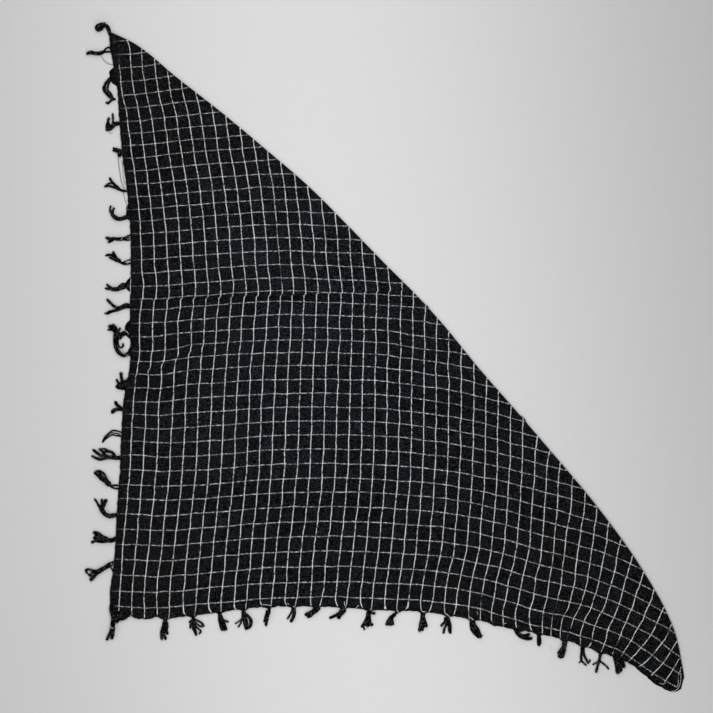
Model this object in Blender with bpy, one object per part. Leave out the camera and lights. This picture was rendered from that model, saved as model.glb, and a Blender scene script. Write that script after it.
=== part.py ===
"""Keffiyeh headscarf: one square of loose black cotton with a thin white window check, folded once from
corner to corner and laid flat. Two opposite edges of the square are selvedges, and the warp ends of the
other two are gathered into knotted, twisted tassels.

Metres, +Z up, underside on z = 0. +Y runs up the straight left edge, and the long fold runs from the top
corner down to the right-hand tip. Plan positions in the tables are millimetres.
"""

import math

import bmesh
import bpy
import numpy as np
from mathutils.geometry import delaunay_2d_cdt

MM = 0.001

# ---- driving sizes, in millimetres ----
LAYER = 1.2  # one layer of cloth, with the air in its loose weave
PARTING = 0.4  # the open gap between the two layers at their edges
GAP_DEPTH = 8.0  # how far in from the edge the two layers stay apart
STACK = 2 * LAYER + PARTING  # the doubled cloth
CHECK = 23.0  # spacing of the surface points, one window check
SEAM = 0.35  # clear space between a tassel's root and the cloth
FOLD_ROLL = 1.6  # how much higher the doubled cloth stands beside its unpressed fold
FOLD_ROLL_REACH = 22.0  # how far in from the fold it stands higher
SCALLOP_LIFT = 1.1  # how high the hem's edge stands midway between two tassels
RIM_STEP = 12.0  # spacing of the stations along the left edge
HEM_STEP = 7.0  # spacing of the stations along the hem
HEM_ARCH = 1.8  # how far the hem draws up midway between two tassels
WIDEST_ARCH = 60.0  # tassels further apart than this have a plain hem between them
ROOT_DIP = 2.6  # how far it is drawn out at a tassel
FOLD_STEP = 26.0  # spacing of the stations along the fold
CENTRE = (0.3, 2.2)  # plan position of the middle of the object's bounding box

# Weft sections, one row for each measured weft line, counted down from the top corner: its height where it
# leaves the selvedge, the selvedge, the first warp line, and where the line runs over the fold.
WEFT = (
    # line, start_y, selvedge_x, first_warp_x, fold_x
    (-0.8, 588, -497, -484, -493),
    (0, 569, -497, -483, -456),
    (3, 496, -485, -476, -375),
    (6, 426, -480, -465, -292),
    (9, 361, -474, -457, -219),
    (12, 290, -465, -447, -138),
    (15, 223, -460, -441, -69),
    (18, 151, -460, -438, 4),
    (20, 106, -461, -440, 54),
    (22, 63, -461, -444, 98),
    (25, -9, -461, -447, 167),
    (28, -76, -472, -454, 242),
    (30, -124, -476, -457, 297),
    (33, -202, -479, -461, 383),
    (36, -282, -485, -468, 464),
    (38, -335, -487, -473, 507),
    (39, -362, -489, -475, 521),
    (40, -390, -492, -477, 529),
    (41, -417, -496, -479, 533),
    (42, -445, -497, -481, 533),
    (43, -473, -494, -482, 532),
)
TIP_LINE = 41.6  # the last weft line that reaches the fold

# How far a weft line has risen (+) or sunk (-) from its start by each station across, for four lines.
WEFT_SAG = (
    # x, line_8, line_20, line_32, line_42
    (-514, -2, 0, 1, -2),
    (-442, 0, 0, -1, -4),
    (-370, 8, 4, -2, -3),
    (-298, 13, 9, 2, 5),
    (-226, 17, 14, 8, 10),
    (-154, 19, 14, 11, 14),
    (-82, 20, 14, 11, 14),
    (-10, 20, 12, 9, 11),
    (62, 20, 7, 2, 8),
    (134, 20, 0, -8, 0),
    (206, 14, -14, -22, -17),
    (278, 0, -32, -40, -39),
    (350, -27, -54, -59, -56),
    (422, -54, -76, -83, -84),
    (494, -90, -108, -119, -119),
    (548, -126, -144, -153, -151),
)
SAG_LINES = (8, 20, 32, 42)

# The hem, from the bottom left corner to the tip, drawn midway between its scallops' crests and roots.
HEM = (
    # x, y
    (-494, -474),
    (-478, -470),
    (-450, -469),
    (-395, -470),
    (-350, -466),
    (-298, -459),
    (-233, -451),
    (-166, -449),
    (-80, -451),
    (-24, -455),
    (69, -459),
    (130, -468),
    (195, -481),
    (240, -491),
    (321, -509),
    (390, -533),
    (436, -549),
    (458, -561),
    (482, -578),
    (500, -587),
    (513, -594),
    (526, -593),
)

# Scallops of the hem that carry no tassel: where, how far they draw the hem up (+) or out (-), half width.
SCALLOPS = (
    (-472, -3.5, 7),
    (-460, 5.0, 6),
    (-434, -1.0, 9),
    (-413, 4.5, 6),
    (174, 3.0, 13),
)

# Where the lower layer's scalloped hem looks out beside the selvedge: height, half length, reach.
LUMPS = (
    (507, 17, 11),
    (264, 14, 6),
    (132, 13, 8),
    (51, 17, 10),
    (10, 10, 3),
    (-48, 14, 5),
)
TIP_PEEK = 7.0  # how far the lower layer looks out round the tip
TIP_PEEK_X = (440, 490)  # where that starts and where it is whole

# Creases pressed into the doubled cloth and ripples beside its edge: ends, height of the ridge, half width.
CREASES = (
    # x1, y1, x2, y2, height, half_width
    (-455, 108, 70, 116, 2.6, 9),  # across the middle, from the packing
    (-315, 271, -118, 273, 1.6, 9),
    (-350, 199, -262, 203, 1.3, 9),
    (-250, -46, -28, -48, 1.3, 9),
    (-440, -22, -340, -18, 1.6, 10),
    (80, -62, 240, -103, 2.2, 10),
    (-184, 98, -184, -205, 1.6, 8),
    (-32, -30, -32, -205, 1.3, 8),
    (76, 70, 76, -212, 1.6, 8),
    (-458, 40, -378, -28, 3.0, 9),  # ripples by the left edge
    (-456, 2, -396, -50, 2.4, 8),
    (-462, -62, -385, -72, 2.0, 9),
    (-440, 246, -300, 234, 1.6, 12),
    (300, -250, 418, -462, 1.8, 16),  # pull towards the tip
    (392, -330, 470, -520, 1.8, 14),
    (-300, -330, 60, -360, 1.4, 22),
)

# Low swells of the cloth: centre, height, radius across, radius up.
SWELLS = (
    (-220, 165, 2.2, 150, 60),
    (-300, -160, 1.8, 130, 90),
    (60, -200, 1.6, 120, 110),
    (220, -330, 1.8, 120, 70),
    (-120, -350, 1.6, 150, 60),
    (-370, 330, 1.4, 60, 110),
)

# Tassels of the hem (upper layer) and of the left edge (lower layer). The body runs from the root over the
# bend to the split, and its twisted strands run on to the ends.
TASSELS = (
    # name, root, bend, split, body width, ends of its strands
    ("hem_01", (-490, -480), (-492, -487), (-494, -492), 7.0, ((-502, -508), (-495, -506))),
    ("hem_02", (-395, -473), (-397, -478), (-398, -483), 8.0, ((-403, -506), (-398, -508), (-392, -498))),
    ("hem_03", (-347, -471), (-346, -476), (-345, -481), 8.0,
     ((-353, -486), (-342, -500), (-335, -492), (-328, -482))),
    ("hem_04", (-299, -464), (-299, -469), (-296, -474), 7.5, ((-294, -489), (-286, -488), (-284, -475))),
    ("hem_05", (-255, -457), (-255, -462), (-253, -467), 8.0,
     ((-270, -478), (-265, -484), (-251, -487), (-243, -472))),
    ("hem_06", (-211, -453), (-212, -460), (-213, -467), 5.0, ((-220, -474), (-216, -481), (-210, -474))),
    ("hem_07", (-167, -452), (-167, -458), (-168, -465), 5.0, ((-177, -470), (-172, -475))),
    ("hem_08", (-127, -453), (-132, -457), (-138, -460), 6.5, ((-146, -461), (-138, -467))),
    ("hem_09", (-77, -456), (-82, -460), (-86, -463), 5.5, ((-102, -469), (-88, -470))),
    ("hem_10", (-30, -461), (-32, -468), (-33, -474), 8.5,
     ((-45, -483), (-39, -490), (-31, -486), (-23, -480))),
    ("hem_11", (21, -460), (15, -465), (8, -469), 6.0, ((-1, -478), (6, -482), (13, -479))),
    ("hem_12", (67, -462), (67, -469), (67, -476), 7.0, ((59, -492), (67, -491), (73, -484))),
    ("hem_13", (111, -470), (110, -474), (110, -478), 7.0, ((99, -482), (103, -496), (116, -496))),
    ("hem_14", (153, -472), (155, -480), (158, -488), 7.5, ((155, -496), (167, -507), (173, -502))),
    ("hem_15", (240, -497), (244, -502), (249, -504), 5.0, ((259, -498), (263, -506))),
    ("hem_16", (275, -496), (274, -502), (275, -508), 6.0, ((271, -515), (277, -519))),
    ("hem_17", (320, -512), (320, -519), (318, -526), 7.5, ((307, -535), (314, -541), (321, -536))),
    ("hem_18", (353, -524), (354, -531), (354, -537), 6.5, ((349, -547), (358, -554), (367, -544))),
    ("hem_19", (384, -537), (383, -542), (382, -547), 5.5, ((372, -553), (379, -568), (400, -559))),
    ("hem_20", (418, -547), (418, -553), (418, -558), 8.0,
     ((411, -559), (417, -570), (424, -565), (431, -555))),
    ("side_01", (-499, 588), (-503, 599), (-510, 602), 7.5, ((-525, 601), (-524, 594), (-518, 589))),
    ("side_02", (-498, 553), (-508, 551), (-523, 549), 6.5, ((-539, 551), (-538, 546))),
    ("side_03", (-500, 498), (-504, 489), (-502, 479), 5.0, ((-509, 484), (-491, 467), (-503, 460))),
    ("side_04", (-484, 422), (-489, 421), (-495, 418), 7.0,
     ((-492, 439), (-499, 434), (-506, 414), (-498, 409))),
    ("side_05", (-478, 372), (-481, 373), (-484, 375), 5.0, ((-493, 379), (-492, 373))),
    ("side_06", (-472, 301), (-479, 305), (-487, 310), 6.0, ((-506, 307), (-497, 323))),
    ("side_07", (-470, 253), (-480, 248), (-491, 255), 6.5, ((-497, 272), (-490, 270))),
    ("side_08", (-463, 218), (-478, 214), (-492, 215), 5.5, ((-504, 218), (-498, 208))),
    ("side_09", (-463, 173), (-475, 171), (-487, 178), 6.5, ((-504, 183), (-492, 191))),
    ("side_10", (-472, 131), (-481, 127), (-491, 125), 7.0, ((-506, 125), (-501, 132))),
    ("side_11", (-463, 95), (-474, 92), (-484, 90), 5.5, ((-503, 106), (-504, 79))),
    ("side_12", (-474, 46), (-481, 42), (-488, 46), 8.0, ((-500, 50), (-498, 57), (-491, 59))),
    ("side_13", (-467, 3), (-476, 8), (-483, 16), 6.0, ((-487, 32), (-480, 29), (-474, 22))),
    ("side_14", (-470, -49), (-473, -48), (-477, -48), 7.0, ((-477, -28), (-485, -41), (-484, -54))),
    ("side_15", (-477, -91), (-480, -91), (-484, -92), 5.5, ((-488, -79), (-495, -99))),
    ("side_16", (-480, -138), (-486, -136), (-494, -134), 6.5, ((-512, -154), (-505, -146))),
    ("side_17", (-482, -180), (-494, -179), (-505, -176), 7.0,
     ((-514, -162), (-527, -166), (-531, -177), (-516, -185))),
    ("side_18", (-484, -231), (-496, -231), (-506, -219), 7.5, ((-517, -201), (-525, -207))),
    ("side_19", (-486, -281), (-499, -284), (-509, -272), 6.5, ((-525, -255), (-516, -254), (-506, -254))),
    ("side_20", (-491, -327), (-500, -330), (-509, -325), 9.0, ((-531, -334), (-529, -323), (-521, -313))),
    ("side_21", (-496, -372), (-508, -378), (-523, -388), 7.5, ((-532, -402), (-539, -388), (-533, -379))),
)

# Cross section of the rim: how far out and how high each ring of points lies, at an open edge of the two
# layers and at the fold.
RIM = (
    # edge_out, edge_z, fold_out, fold_z
    (0.0, 0.0, -1.8, 0.0),
    (0.2, LAYER, -0.4, 0.6),
    (-GAP_DEPTH, LAYER, 0.3, 1.4),
    (-GAP_DEPTH, LAYER + PARTING, 0.3, 2.2),
    (0.2, LAYER + PARTING, -0.3, 3.1),
    (0.0, STACK, -1.6, 3.9),
)
LOWER_RINGS = 2  # the first rings belong to the lower layer, which looks out past the upper one


def smooth_through(points, values, x):
    """A smooth curve through the given stations, read at x."""
    slope = np.gradient(values, points)
    k = np.clip(np.searchsorted(points, x, side="right") - 1, 0, len(points) - 2)
    step = points[k + 1] - points[k]
    u = np.clip((x - points[k]) / step, -0.3, 1.3)
    return (
        (2 * u**3 - 3 * u**2 + 1) * values[k]
        + (u**3 - 2 * u**2 + u) * step * slope[k]
        + (3 * u**2 - 2 * u**3) * values[k + 1]
        + (u**3 - u**2) * step * slope[k + 1]
    )


def column(table, index):
    return np.array([row[index] for row in table], float)


def weft_y(line, x):
    """Height in plan of a weft line at x."""
    start = smooth_through(column(WEFT, 0), column(WEFT, 1), np.asarray(line, float))
    sag = [smooth_through(column(WEFT_SAG, 0), column(WEFT_SAG, k), x) for k in range(1, 5)]
    place = np.interp(line, SAG_LINES, range(4))
    k = np.minimum(place.astype(int), 2)
    below, above = np.choose(k, sag[:3]), np.choose(k, sag[1:])
    return start + below + (place - k) * (above - below)


def resample(path, step):
    """Points evenly spaced along a path, from its first point to its last."""
    path = np.asarray(path, float)
    along = np.concatenate([[0], np.cumsum(np.linalg.norm(np.diff(path, axis=0), axis=1))])
    count = max(2, round(along[-1] / step))
    at = np.linspace(0, along[-1], count + 1)
    return np.stack([np.interp(at, along, path[:, k]) for k in range(2)], axis=1)


def selvedge_path():
    y = np.linspace(column(WEFT, 1)[0], column(WEFT, 1)[-1], 200)
    order = np.argsort(column(WEFT, 1))
    x = smooth_through(column(WEFT, 1)[order], column(WEFT, 2)[order], y)
    return np.stack([x, y], axis=1)


def hem_path():
    """The hem with its scallops: it is drawn out at each tassel's root and hollow in between."""
    x = np.linspace(HEM[0][0], HEM[-1][0], 500)
    y = smooth_through(column(HEM, 0), column(HEM, 1), x)
    roots = np.array([t[1][0] for t in TASSELS if t[0].startswith("hem")], float)
    for root in roots:
        y -= ROOT_DIP * np.exp(-(((x - root) / 7.0) ** 2))
    for a, b in zip(roots[:-1], roots[1:]):
        across = (x - a) / (b - a)
        inside = (across > 0) & (across < 1) & (b - a < WIDEST_ARCH)
        y[inside] += HEM_ARCH * (1 - (2 * across[inside] - 1) ** 4)
    for middle, rise, half in SCALLOPS:
        y += rise * np.exp(-(((x - middle) / half) ** 2))
    return np.stack([x, y], axis=1)


def fold_path():
    """Where each weft line turns over into the lower layer, from the tip up to the top corner."""
    line = np.linspace(TIP_LINE, WEFT[0][0], 300)
    x = smooth_through(column(WEFT, 0), column(WEFT, 4), line)
    return np.stack([x, weft_y(line, x)], axis=1)


def stations():
    """The edge of the doubled cloth, anticlockwise, with how much each station belongs to the fold."""
    left = resample(selvedge_path(), RIM_STEP)
    hem = resample(hem_path(), HEM_STEP)
    fold = resample(fold_path(), FOLD_STEP)
    points = np.concatenate([left[:-1], hem, fold[:-1]])
    folded = np.concatenate([np.zeros(len(left) + len(hem) - 1), np.ones(len(fold) - 1)])
    folded[0] = 0.5
    ahead, behind = np.roll(points, -1, axis=0), np.roll(points, 1, axis=0)
    tangent = ahead - behind
    outward = np.stack([tangent[:, 1], -tangent[:, 0]], axis=1)
    outward /= np.linalg.norm(outward, axis=1)[:, None]
    return points, outward, folded, len(left) - 1, len(left) + len(hem) - 1


def lower_reach(points, hem_first, fold_first):
    """How far the lower layer looks out past the upper one at each station."""
    reach = np.zeros(len(points))
    for y, half, amount in LUMPS:
        u = np.clip((points[:hem_first, 1] - y) / half, -1, 1)
        reach[:hem_first] += amount * (1 - u**2) ** 2
    u = np.clip((points[hem_first:, 0] - TIP_PEEK_X[0]) / (TIP_PEEK_X[1] - TIP_PEEK_X[0]), 0, 1)
    lower = np.clip((-500 - points[hem_first:, 1]) / 60, 0, 1)
    reach[hem_first:] = TIP_PEEK * u * lower
    return reach


def distance_to_path(at, path):
    """Distance from each point to a closed path."""
    a, b = path, np.roll(path, -1, axis=0)
    along = b - a
    offset = at[:, None, :] - a[None]
    u = np.clip((offset * along).sum(2) / (along**2).sum(1), 0, 1)
    return np.linalg.norm(offset - u[..., None] * along, axis=2).min(1)


def nearest_on_path(at, path):
    """The point of a closed path nearest to one plan point."""
    a, b = path, np.roll(path, -1, axis=0)
    along = b - a
    u = np.clip(((at - a) * along).sum(1) / (along**2).sum(1), 0, 1)
    foot = a + u[:, None] * along
    return foot[np.linalg.norm(foot - at, axis=1).argmin()]


def inside_path(at, path):
    a, b = path, np.roll(path, -1, axis=0)
    x, y = at[:, 0][:, None], at[:, 1][:, None]
    crosses = (a[:, 1] > y) != (b[:, 1] > y)
    rise = np.where(a[:, 1] == b[:, 1], 1e-9, b[:, 1] - a[:, 1])
    return (crosses & (x < a[:, 0] + (y - a[:, 1]) / rise * (b[:, 0] - a[:, 0]))).sum(1) % 2 == 1


def relief(at):
    """Height of the creases, ripples and swells above the flat doubled cloth, in plan points."""
    height = np.zeros(len(at))
    for x1, y1, x2, y2, tall, half in CREASES:
        start, along = np.array([x1, y1], float), np.array([x2 - x1, y2 - y1], float)
        length = np.linalg.norm(along)
        u = ((at - start) @ along) / length**2
        across = ((at - start) @ np.array([-along[1], along[0]])) / length
        taper = np.clip(np.minimum(u, 1 - u) * 5 + 0.25, 0, 1)
        height += tall * np.exp(-((across / half) ** 2)) * taper
    for x, y, tall, wide, high in SWELLS:
        height += tall * np.exp(-(((at[:, 0] - x) / wide) ** 2) - ((at[:, 1] - y) / high) ** 2)
    return height


def surface_points(edge):
    """Points of the upper surface: rows along each crease, then one for each check between them."""
    wanted = []
    for x1, y1, x2, y2, _, half in CREASES:
        a, b = np.array([x1, y1], float), np.array([x2, y2], float)
        along = (b - a) / np.linalg.norm(b - a)
        side = np.array([-along[1], along[0]])
        for t in np.arange(0.5, np.linalg.norm(b - a) / CHECK):
            for offset in (-1.5 * half, 0.0, 1.5 * half):
                wanted.append((a + along * t * CHECK + side * offset, 0.6 * half))
    for row, line in enumerate(np.arange(-0.5, 44.0, 1.0)):
        shift = 0.5 * CHECK * (row % 2)
        x = np.arange(-500 + shift, 550, CHECK)
        for point in zip(x, weft_y(np.full_like(x, line), x)):
            wanted.append((np.array(point), 0.62 * CHECK))
    at = np.array([point for point, _ in wanted])
    room = np.array([gap for _, gap in wanted])
    clear = inside_path(at, edge) & (distance_to_path(at, edge) > 11.0)
    kept = []
    for k in np.flatnonzero(clear):
        if all(np.hypot(*(at[k] - at[j])) > room[k] for j in kept):
            kept.append(k)
    return at[kept]


def cotton(name, colour, roughness):
    material = bpy.data.materials.new(name)
    material.use_nodes = True
    shader = material.node_tree.nodes["Principled BSDF"]
    shader.inputs["Base Color"].default_value = (*colour, 1.0)
    shader.inputs["Roughness"].default_value = roughness
    shader.inputs["Metallic"].default_value = 0.0
    return material


def add_object(name, mesh_builder, material, parent):
    mesh = bpy.data.meshes.new(name)
    mesh_builder.to_mesh(mesh)
    mesh_builder.free()
    mesh.materials.append(material)
    mesh.shade_smooth()
    mesh.set_sharp_from_angle(angle=math.radians(40))
    obj = bpy.data.objects.new(name, mesh)
    obj.parent = parent
    bpy.context.scene.collection.objects.link(obj)
    return obj


def build_cloth(material, parent):
    """The doubled cloth as one rounded solid, its two layers parted all round the open edges."""
    points, outward, folded, hem_first, fold_first = stations()
    reach = lower_reach(points, hem_first, fold_first)
    roots = np.array([t[1] for t in TASSELS if t[0].startswith("hem")], float)
    near_root = np.linalg.norm(points[:, None] - roots[None], axis=2).min(1)
    lift = np.zeros(len(points))
    hem = slice(hem_first, fold_first)
    lift[hem] = SCALLOP_LIFT * np.clip((near_root[hem] - 8) / 10, 0, 1)
    body = bmesh.new()
    rings = []
    for k, (edge_out, edge_z, fold_out, fold_z) in enumerate(RIM):
        out = edge_out * (1 - folded) + fold_out * folded + (reach if k < LOWER_RINGS else 0.0)
        z = edge_z * (1 - folded) + fold_z * folded + (lift if k >= 4 else 0.0)
        at = points + outward * out[:, None]
        rings.append([body.verts.new((x * MM, y * MM, h * MM)) for (x, y), h in zip(at, z)])
    for lower, upper in zip(rings[:-1], rings[1:]):
        for k in range(len(lower)):
            nxt = (k + 1) % len(lower)
            body.faces.new((lower[k], lower[nxt], upper[nxt], upper[k]))
    body.faces.new(list(reversed(rings[0])))

    rim = np.array([(v.co.x / MM, v.co.y / MM) for v in rings[-1]])
    inner = surface_points(rim)
    from_edge = distance_to_path(inner, rim)
    fold_line = points[fold_first:]
    from_fold = np.linalg.norm(inner[:, None] - fold_line[None], axis=2).min(1)
    height = STACK + relief(inner) * np.clip(from_edge / 20, 0, 1)
    height += FOLD_ROLL * np.exp(-((from_fold / FOLD_ROLL_REACH) ** 2))
    loop = list(range(len(rim)))
    flat, _, faces, source, _, _ = delaunay_2d_cdt(
        [tuple(p) for p in np.concatenate([rim, inner])], [], [loop], 1, 1e-4
    )
    top = []
    for place, origin in zip(flat, source):
        k = origin[0]
        if k < len(rim):
            top.append(rings[-1][k])
        else:
            top.append(body.verts.new((place.x * MM, place.y * MM, height[k - len(rim)] * MM)))
    for face in faces:
        body.faces.new([top[k] for k in face])
    body.normal_update()
    add_object("scarf_cloth", body, material, parent)
    outline = points + outward * (np.maximum(reach, 0) + 0.2)[:, None]
    return outline


def bend_path(a, b, c, count):
    """Points along the curve that leaves a towards b and arrives at c."""
    u = np.linspace(0, 1, count)[:, None]
    return (1 - u) ** 2 * a + 2 * u * (1 - u) * b + u**2 * c


def clear_of(plan, outline):
    """How far plan points stand off the cloth's outline, or -1 where one lies on the cloth."""
    return -1.0 if inside_path(plan, outline).any() else distance_to_path(plan, outline).min()


def seat_tassel(body, root_ring, away, outline):
    """Moves a tassel off the cloth until all of it is SEAM clear, then draws its root in to SEAM from the edge."""
    plan = np.array([(v.co.x / MM, v.co.y / MM) for v in body.verts])
    moved = 0
    while clear_of(plan + away * moved * 0.1, outline) < SEAM and moved < 120:
        moved += 1
    shift = away * moved * 0.1
    bmesh.ops.translate(body, verts=body.verts, vec=(shift[0] * MM, shift[1] * MM, 0.0))
    root = np.array([(v.co.x / MM, v.co.y / MM) for v in root_ring])
    towards = nearest_on_path(root.mean(0), outline) - root.mean(0)
    towards /= np.linalg.norm(towards)
    drawn = 0
    while clear_of(root + towards * (drawn + 1) * 0.05, outline) >= SEAM and drawn < 400:
        drawn += 1
    pull = towards * drawn * 0.05
    bmesh.ops.translate(body, verts=root_ring, vec=(pull[0] * MM, pull[1] * MM, 0.0))


def build_tassel(name, root, bend, split, width, ends, outline, material, parent):
    """A gathered root, a knot and its parting strands, as one skin."""
    root, bend, split = (np.array(p, float) for p in (root, bend, split))
    ends = [np.array(p, float) for p in ends]
    away = (bend - root) / np.linalg.norm(bend - root)
    control = 2 * bend - 0.5 * (root + split)
    spine = bend_path(root, control, split, 5)
    heading = np.gradient(spine, axis=0)
    heading /= np.linalg.norm(heading, axis=1)[:, None]
    left = np.stack([-heading[:, 1], heading[:, 0]], axis=1)
    turn = [math.atan2(*(np.array([left[-1] @ (e - split), heading[-1] @ (e - split)]))) for e in ends]
    ends = [e for _, e in sorted(zip(turn, ends), key=lambda pair: -pair[0])]
    strands = len(ends)
    body = bmesh.new()
    rings = []
    # width share, height share and height of the middle, from the root to the split
    profile = ((0.60, 0.34, 1.7), (0.78, 0.52, 2.4), (1.0, 0.66, 3.0), (0.86, 0.56, 2.7), (0.96, 0.50, 2.5))
    for k, (wide, tall, middle) in enumerate(profile):
        half, rise = 0.5 * width * wide, 0.5 * width * tall
        across = np.linspace(half, -half, strands + 1)
        bulge = rise * np.sqrt(np.clip(1 - 0.8 * (across / half) ** 2, 0, 1))
        middle = max(middle, rise + 0.5)
        upper = [(*(spine[k] + left[k] * a), middle + b) for a, b in zip(across, bulge)]
        lower = [(*(spine[k] + left[k] * a), middle - b) for a, b in zip(across, bulge)]
        ring = upper + lower[::-1]
        rings.append([body.verts.new([c * MM for c in corner]) for corner in ring])
    for near, far in zip(rings[:-1], rings[1:]):
        for k in range(len(near)):
            nxt = (k + 1) % len(near)
            body.faces.new((near[k], far[k], far[nxt], near[nxt]))
    body.faces.new(rings[0])
    last = rings[-1]
    middle = max(profile[-1][2], 0.25 * width + 0.5)
    for k, end in enumerate(ends):
        corner = (last[-1 - k], last[-2 - k], last[k + 1], last[k])  # lower pair, then upper pair
        span = width * profile[-1][0] / strands
        start = split + left[-1] * (0.5 * width * profile[-1][0] - span * (k + 0.5))
        reach = np.linalg.norm(end - start)
        path = bend_path(start, start + heading[-1] * 0.45 * reach, end, 5)
        run = np.gradient(path, axis=0)
        run /= np.linalg.norm(run, axis=1)[:, None]
        path[0] = path[0] + heading[-1] * 0.5
        run[0] = heading[-1]
        thick = np.array([0.44, 0.52, 0.50, 0.44, 0.28]) * min(span, 3.4)
        rise = np.array([middle, middle - 0.2, 2.3, 1.9, 1.6]) + 0.15 * (k % 2)
        before = None
        for p, r, t, z in zip(path, run, thick, rise):
            beside = np.array([-r[1], r[0]])
            z = max(z, 0.6 * t + 0.45)
            triangle = ((p + beside * t, z - 0.6 * t), (p - beside * t, z - 0.6 * t), (p, z + t))
            now = [body.verts.new((q[0] * MM, q[1] * MM, h * MM)) for q, h in triangle]
            if before is None:
                a, b, c = now
                body.faces.new((corner[0], a, b, corner[1]))
                body.faces.new((corner[1], b, c, corner[2]))
                body.faces.new((corner[2], c, corner[3]))
                body.faces.new((corner[3], c, a, corner[0]))
            else:
                for j in range(3):
                    nxt = (j + 1) % 3
                    body.faces.new((before[j], now[j], now[nxt], before[nxt]))
            before = now
        body.faces.new(before)
    bmesh.ops.recalc_face_normals(body, faces=body.faces)
    seat_tassel(body, rings[0], away, outline)
    add_object("tassel_" + name, body, material, parent)


def main():
    for obj in list(bpy.data.objects):
        bpy.data.objects.remove(obj, do_unlink=True)
    scarf = bpy.data.objects.new("keffiyeh", None)
    bpy.context.scene.collection.objects.link(scarf)
    scarf.location = (-CENTRE[0] * MM, -CENTRE[1] * MM, 0.0)
    black_cotton = cotton("black_cotton", (0.0105, 0.0130, 0.0160), 0.92)
    black_yarn = cotton("black_yarn", (0.0070, 0.0080, 0.0100), 0.95)
    outline = build_cloth(black_cotton, scarf)
    for name, root, bend, split, width, ends in TASSELS:
        build_tassel(name, root, bend, split, width, ends, outline, black_yarn, scarf)


main()
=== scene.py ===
"""Looks for the keffiyeh headscarf: the doubled cloth as one folded sheet of loose black cotton with a thin
white window check, its knotted and twisted tassels, and loose threads, on a plain pale floor.

Sizes in the tables are millimetres on the table top, +Y up the photograph. CENTRE takes them to the frame.
"""

import math

import bpy
import numpy as np
from mathutils.geometry import delaunay_2d_cdt
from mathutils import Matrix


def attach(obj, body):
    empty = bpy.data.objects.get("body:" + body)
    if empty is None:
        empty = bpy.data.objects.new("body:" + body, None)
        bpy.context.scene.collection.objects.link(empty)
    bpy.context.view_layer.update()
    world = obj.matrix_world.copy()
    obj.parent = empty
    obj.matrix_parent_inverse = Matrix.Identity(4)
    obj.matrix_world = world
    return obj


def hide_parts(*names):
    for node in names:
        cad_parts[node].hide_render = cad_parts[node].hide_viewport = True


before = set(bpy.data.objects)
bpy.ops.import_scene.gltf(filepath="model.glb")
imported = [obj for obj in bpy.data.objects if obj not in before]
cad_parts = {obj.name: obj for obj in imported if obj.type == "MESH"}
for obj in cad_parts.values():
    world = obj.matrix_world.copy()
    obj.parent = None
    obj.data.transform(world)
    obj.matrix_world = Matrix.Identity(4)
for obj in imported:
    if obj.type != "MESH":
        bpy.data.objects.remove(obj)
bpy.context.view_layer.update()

MM = 0.001
CENTRE = (0.3, 2.2)  # plan position of the middle of the object's bounding box
CLOTH = 0.7  # thickness of one layer as it is shown
LOWER_Z = 0.45  # middle of the lower layer
UPPER_Z = 2.4  # middle of the upper layer where it lies flat
FOLD_RADIUS = 1.8  # the unpressed fold turns round this
FOLD_ROLL = 1.55  # how much higher the cloth stands beside its fold
FOLD_ROLL_REACH = 22.0
SCALLOP_LIFT = 1.0  # how high the hem's edge stands midway between two tassels
GRID = 5.0  # spacing of the upper layer's points
HEM_GRID = 2.6  # spacing within HEM_BAND of the hem
HEM_BAND = 20.0
CREASE_BAND = 9.0  # the same spacing close to the sharp creases
LOWER_GRID = 13.0
EDGE_STEP = 4.0
SELVEDGE_STEP = 0.7 * EDGE_STEP
EDGE_UNEVEN = 0.75  # how far the selvedge and the hem stray from their smooth path
EDGE_RUFFLE = (8, 11.0)  # seed and size of that
FINE_SHARE = 0.88  # the finer points start so far inside their bands
TURN_STEPS = 8
PART = 3000  # points worked on at a time

# ---- the outline, which follows the CAD ----
SELVEDGE = (
    # y, x
    (588, -497), (569, -497), (496, -485), (426, -480), (361, -474), (290, -465), (223, -460), (151, -460),
    (106, -461), (63, -461), (-9, -461), (-76, -472), (-124, -476), (-202, -479), (-282, -485),
    (-335, -487), (-362, -489), (-390, -492), (-417, -496), (-445, -497), (-473, -494),
)
HEM = (
    # x, y
    (-494, -474), (-478, -470), (-450, -469), (-395, -470), (-350, -466), (-298, -459), (-233, -451),
    (-166, -449), (-80, -451), (-24, -455), (69, -459), (130, -468), (195, -481), (240, -491), (321, -509),
    (390, -533), (436, -549), (458, -561), (482, -578), (500, -587), (513, -594), (526, -593),
)
SCALLOPS = (
    # x, rise, half_width
    (-472, -3.5, 7), (-460, 5.0, 6), (-434, -1.0, 9), (-413, 4.5, 6), (174, 3.0, 13),
)
FOLD = (
    # x, y, from the tip to the top corner
    (533, -576), (533, -559), (529, -530), (521, -497), (507, -462), (464, -385), (383, -271), (297, -168),
    (242, -104), (167, -18), (98, 66), (54, 114), (4, 164), (-69, 239), (-138, 308), (-219, 378),
    (-292, 439), (-375, 504), (-456, 568), (-493, 586),
)
ROOTS = (
    -490, -395, -347, -299, -255, -211, -167, -127, -77, -30, 21, 67, 111, 153, 240, 275, 320, 353, 384,
    418,
)
ROOT_DIP, ROOT_REACH = 2.6, 7.0  # the hem dips at each tassel
HEM_ARCH, WIDEST_ARCH = 1.8, 60.0  # and arches between two of them
LUMPS = (
    # y, half_length, reach of the lower layer's scallops past the selvedge
    (507, 17, 11), (264, 14, 6), (132, 13, 8), (51, 17, 10), (10, 10, 3), (-48, 14, 5),
)
TIP_PEEK, TIP_PEEK_X, TIP_PEEK_Y = 7.0, (440, 490), (-500, -560)  # it looks out along the hem near the tip
TIP_SLIP, TIP_SLIP_Y = 5.5, (-548, -574)  # and shows past the fold at the tip

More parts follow.
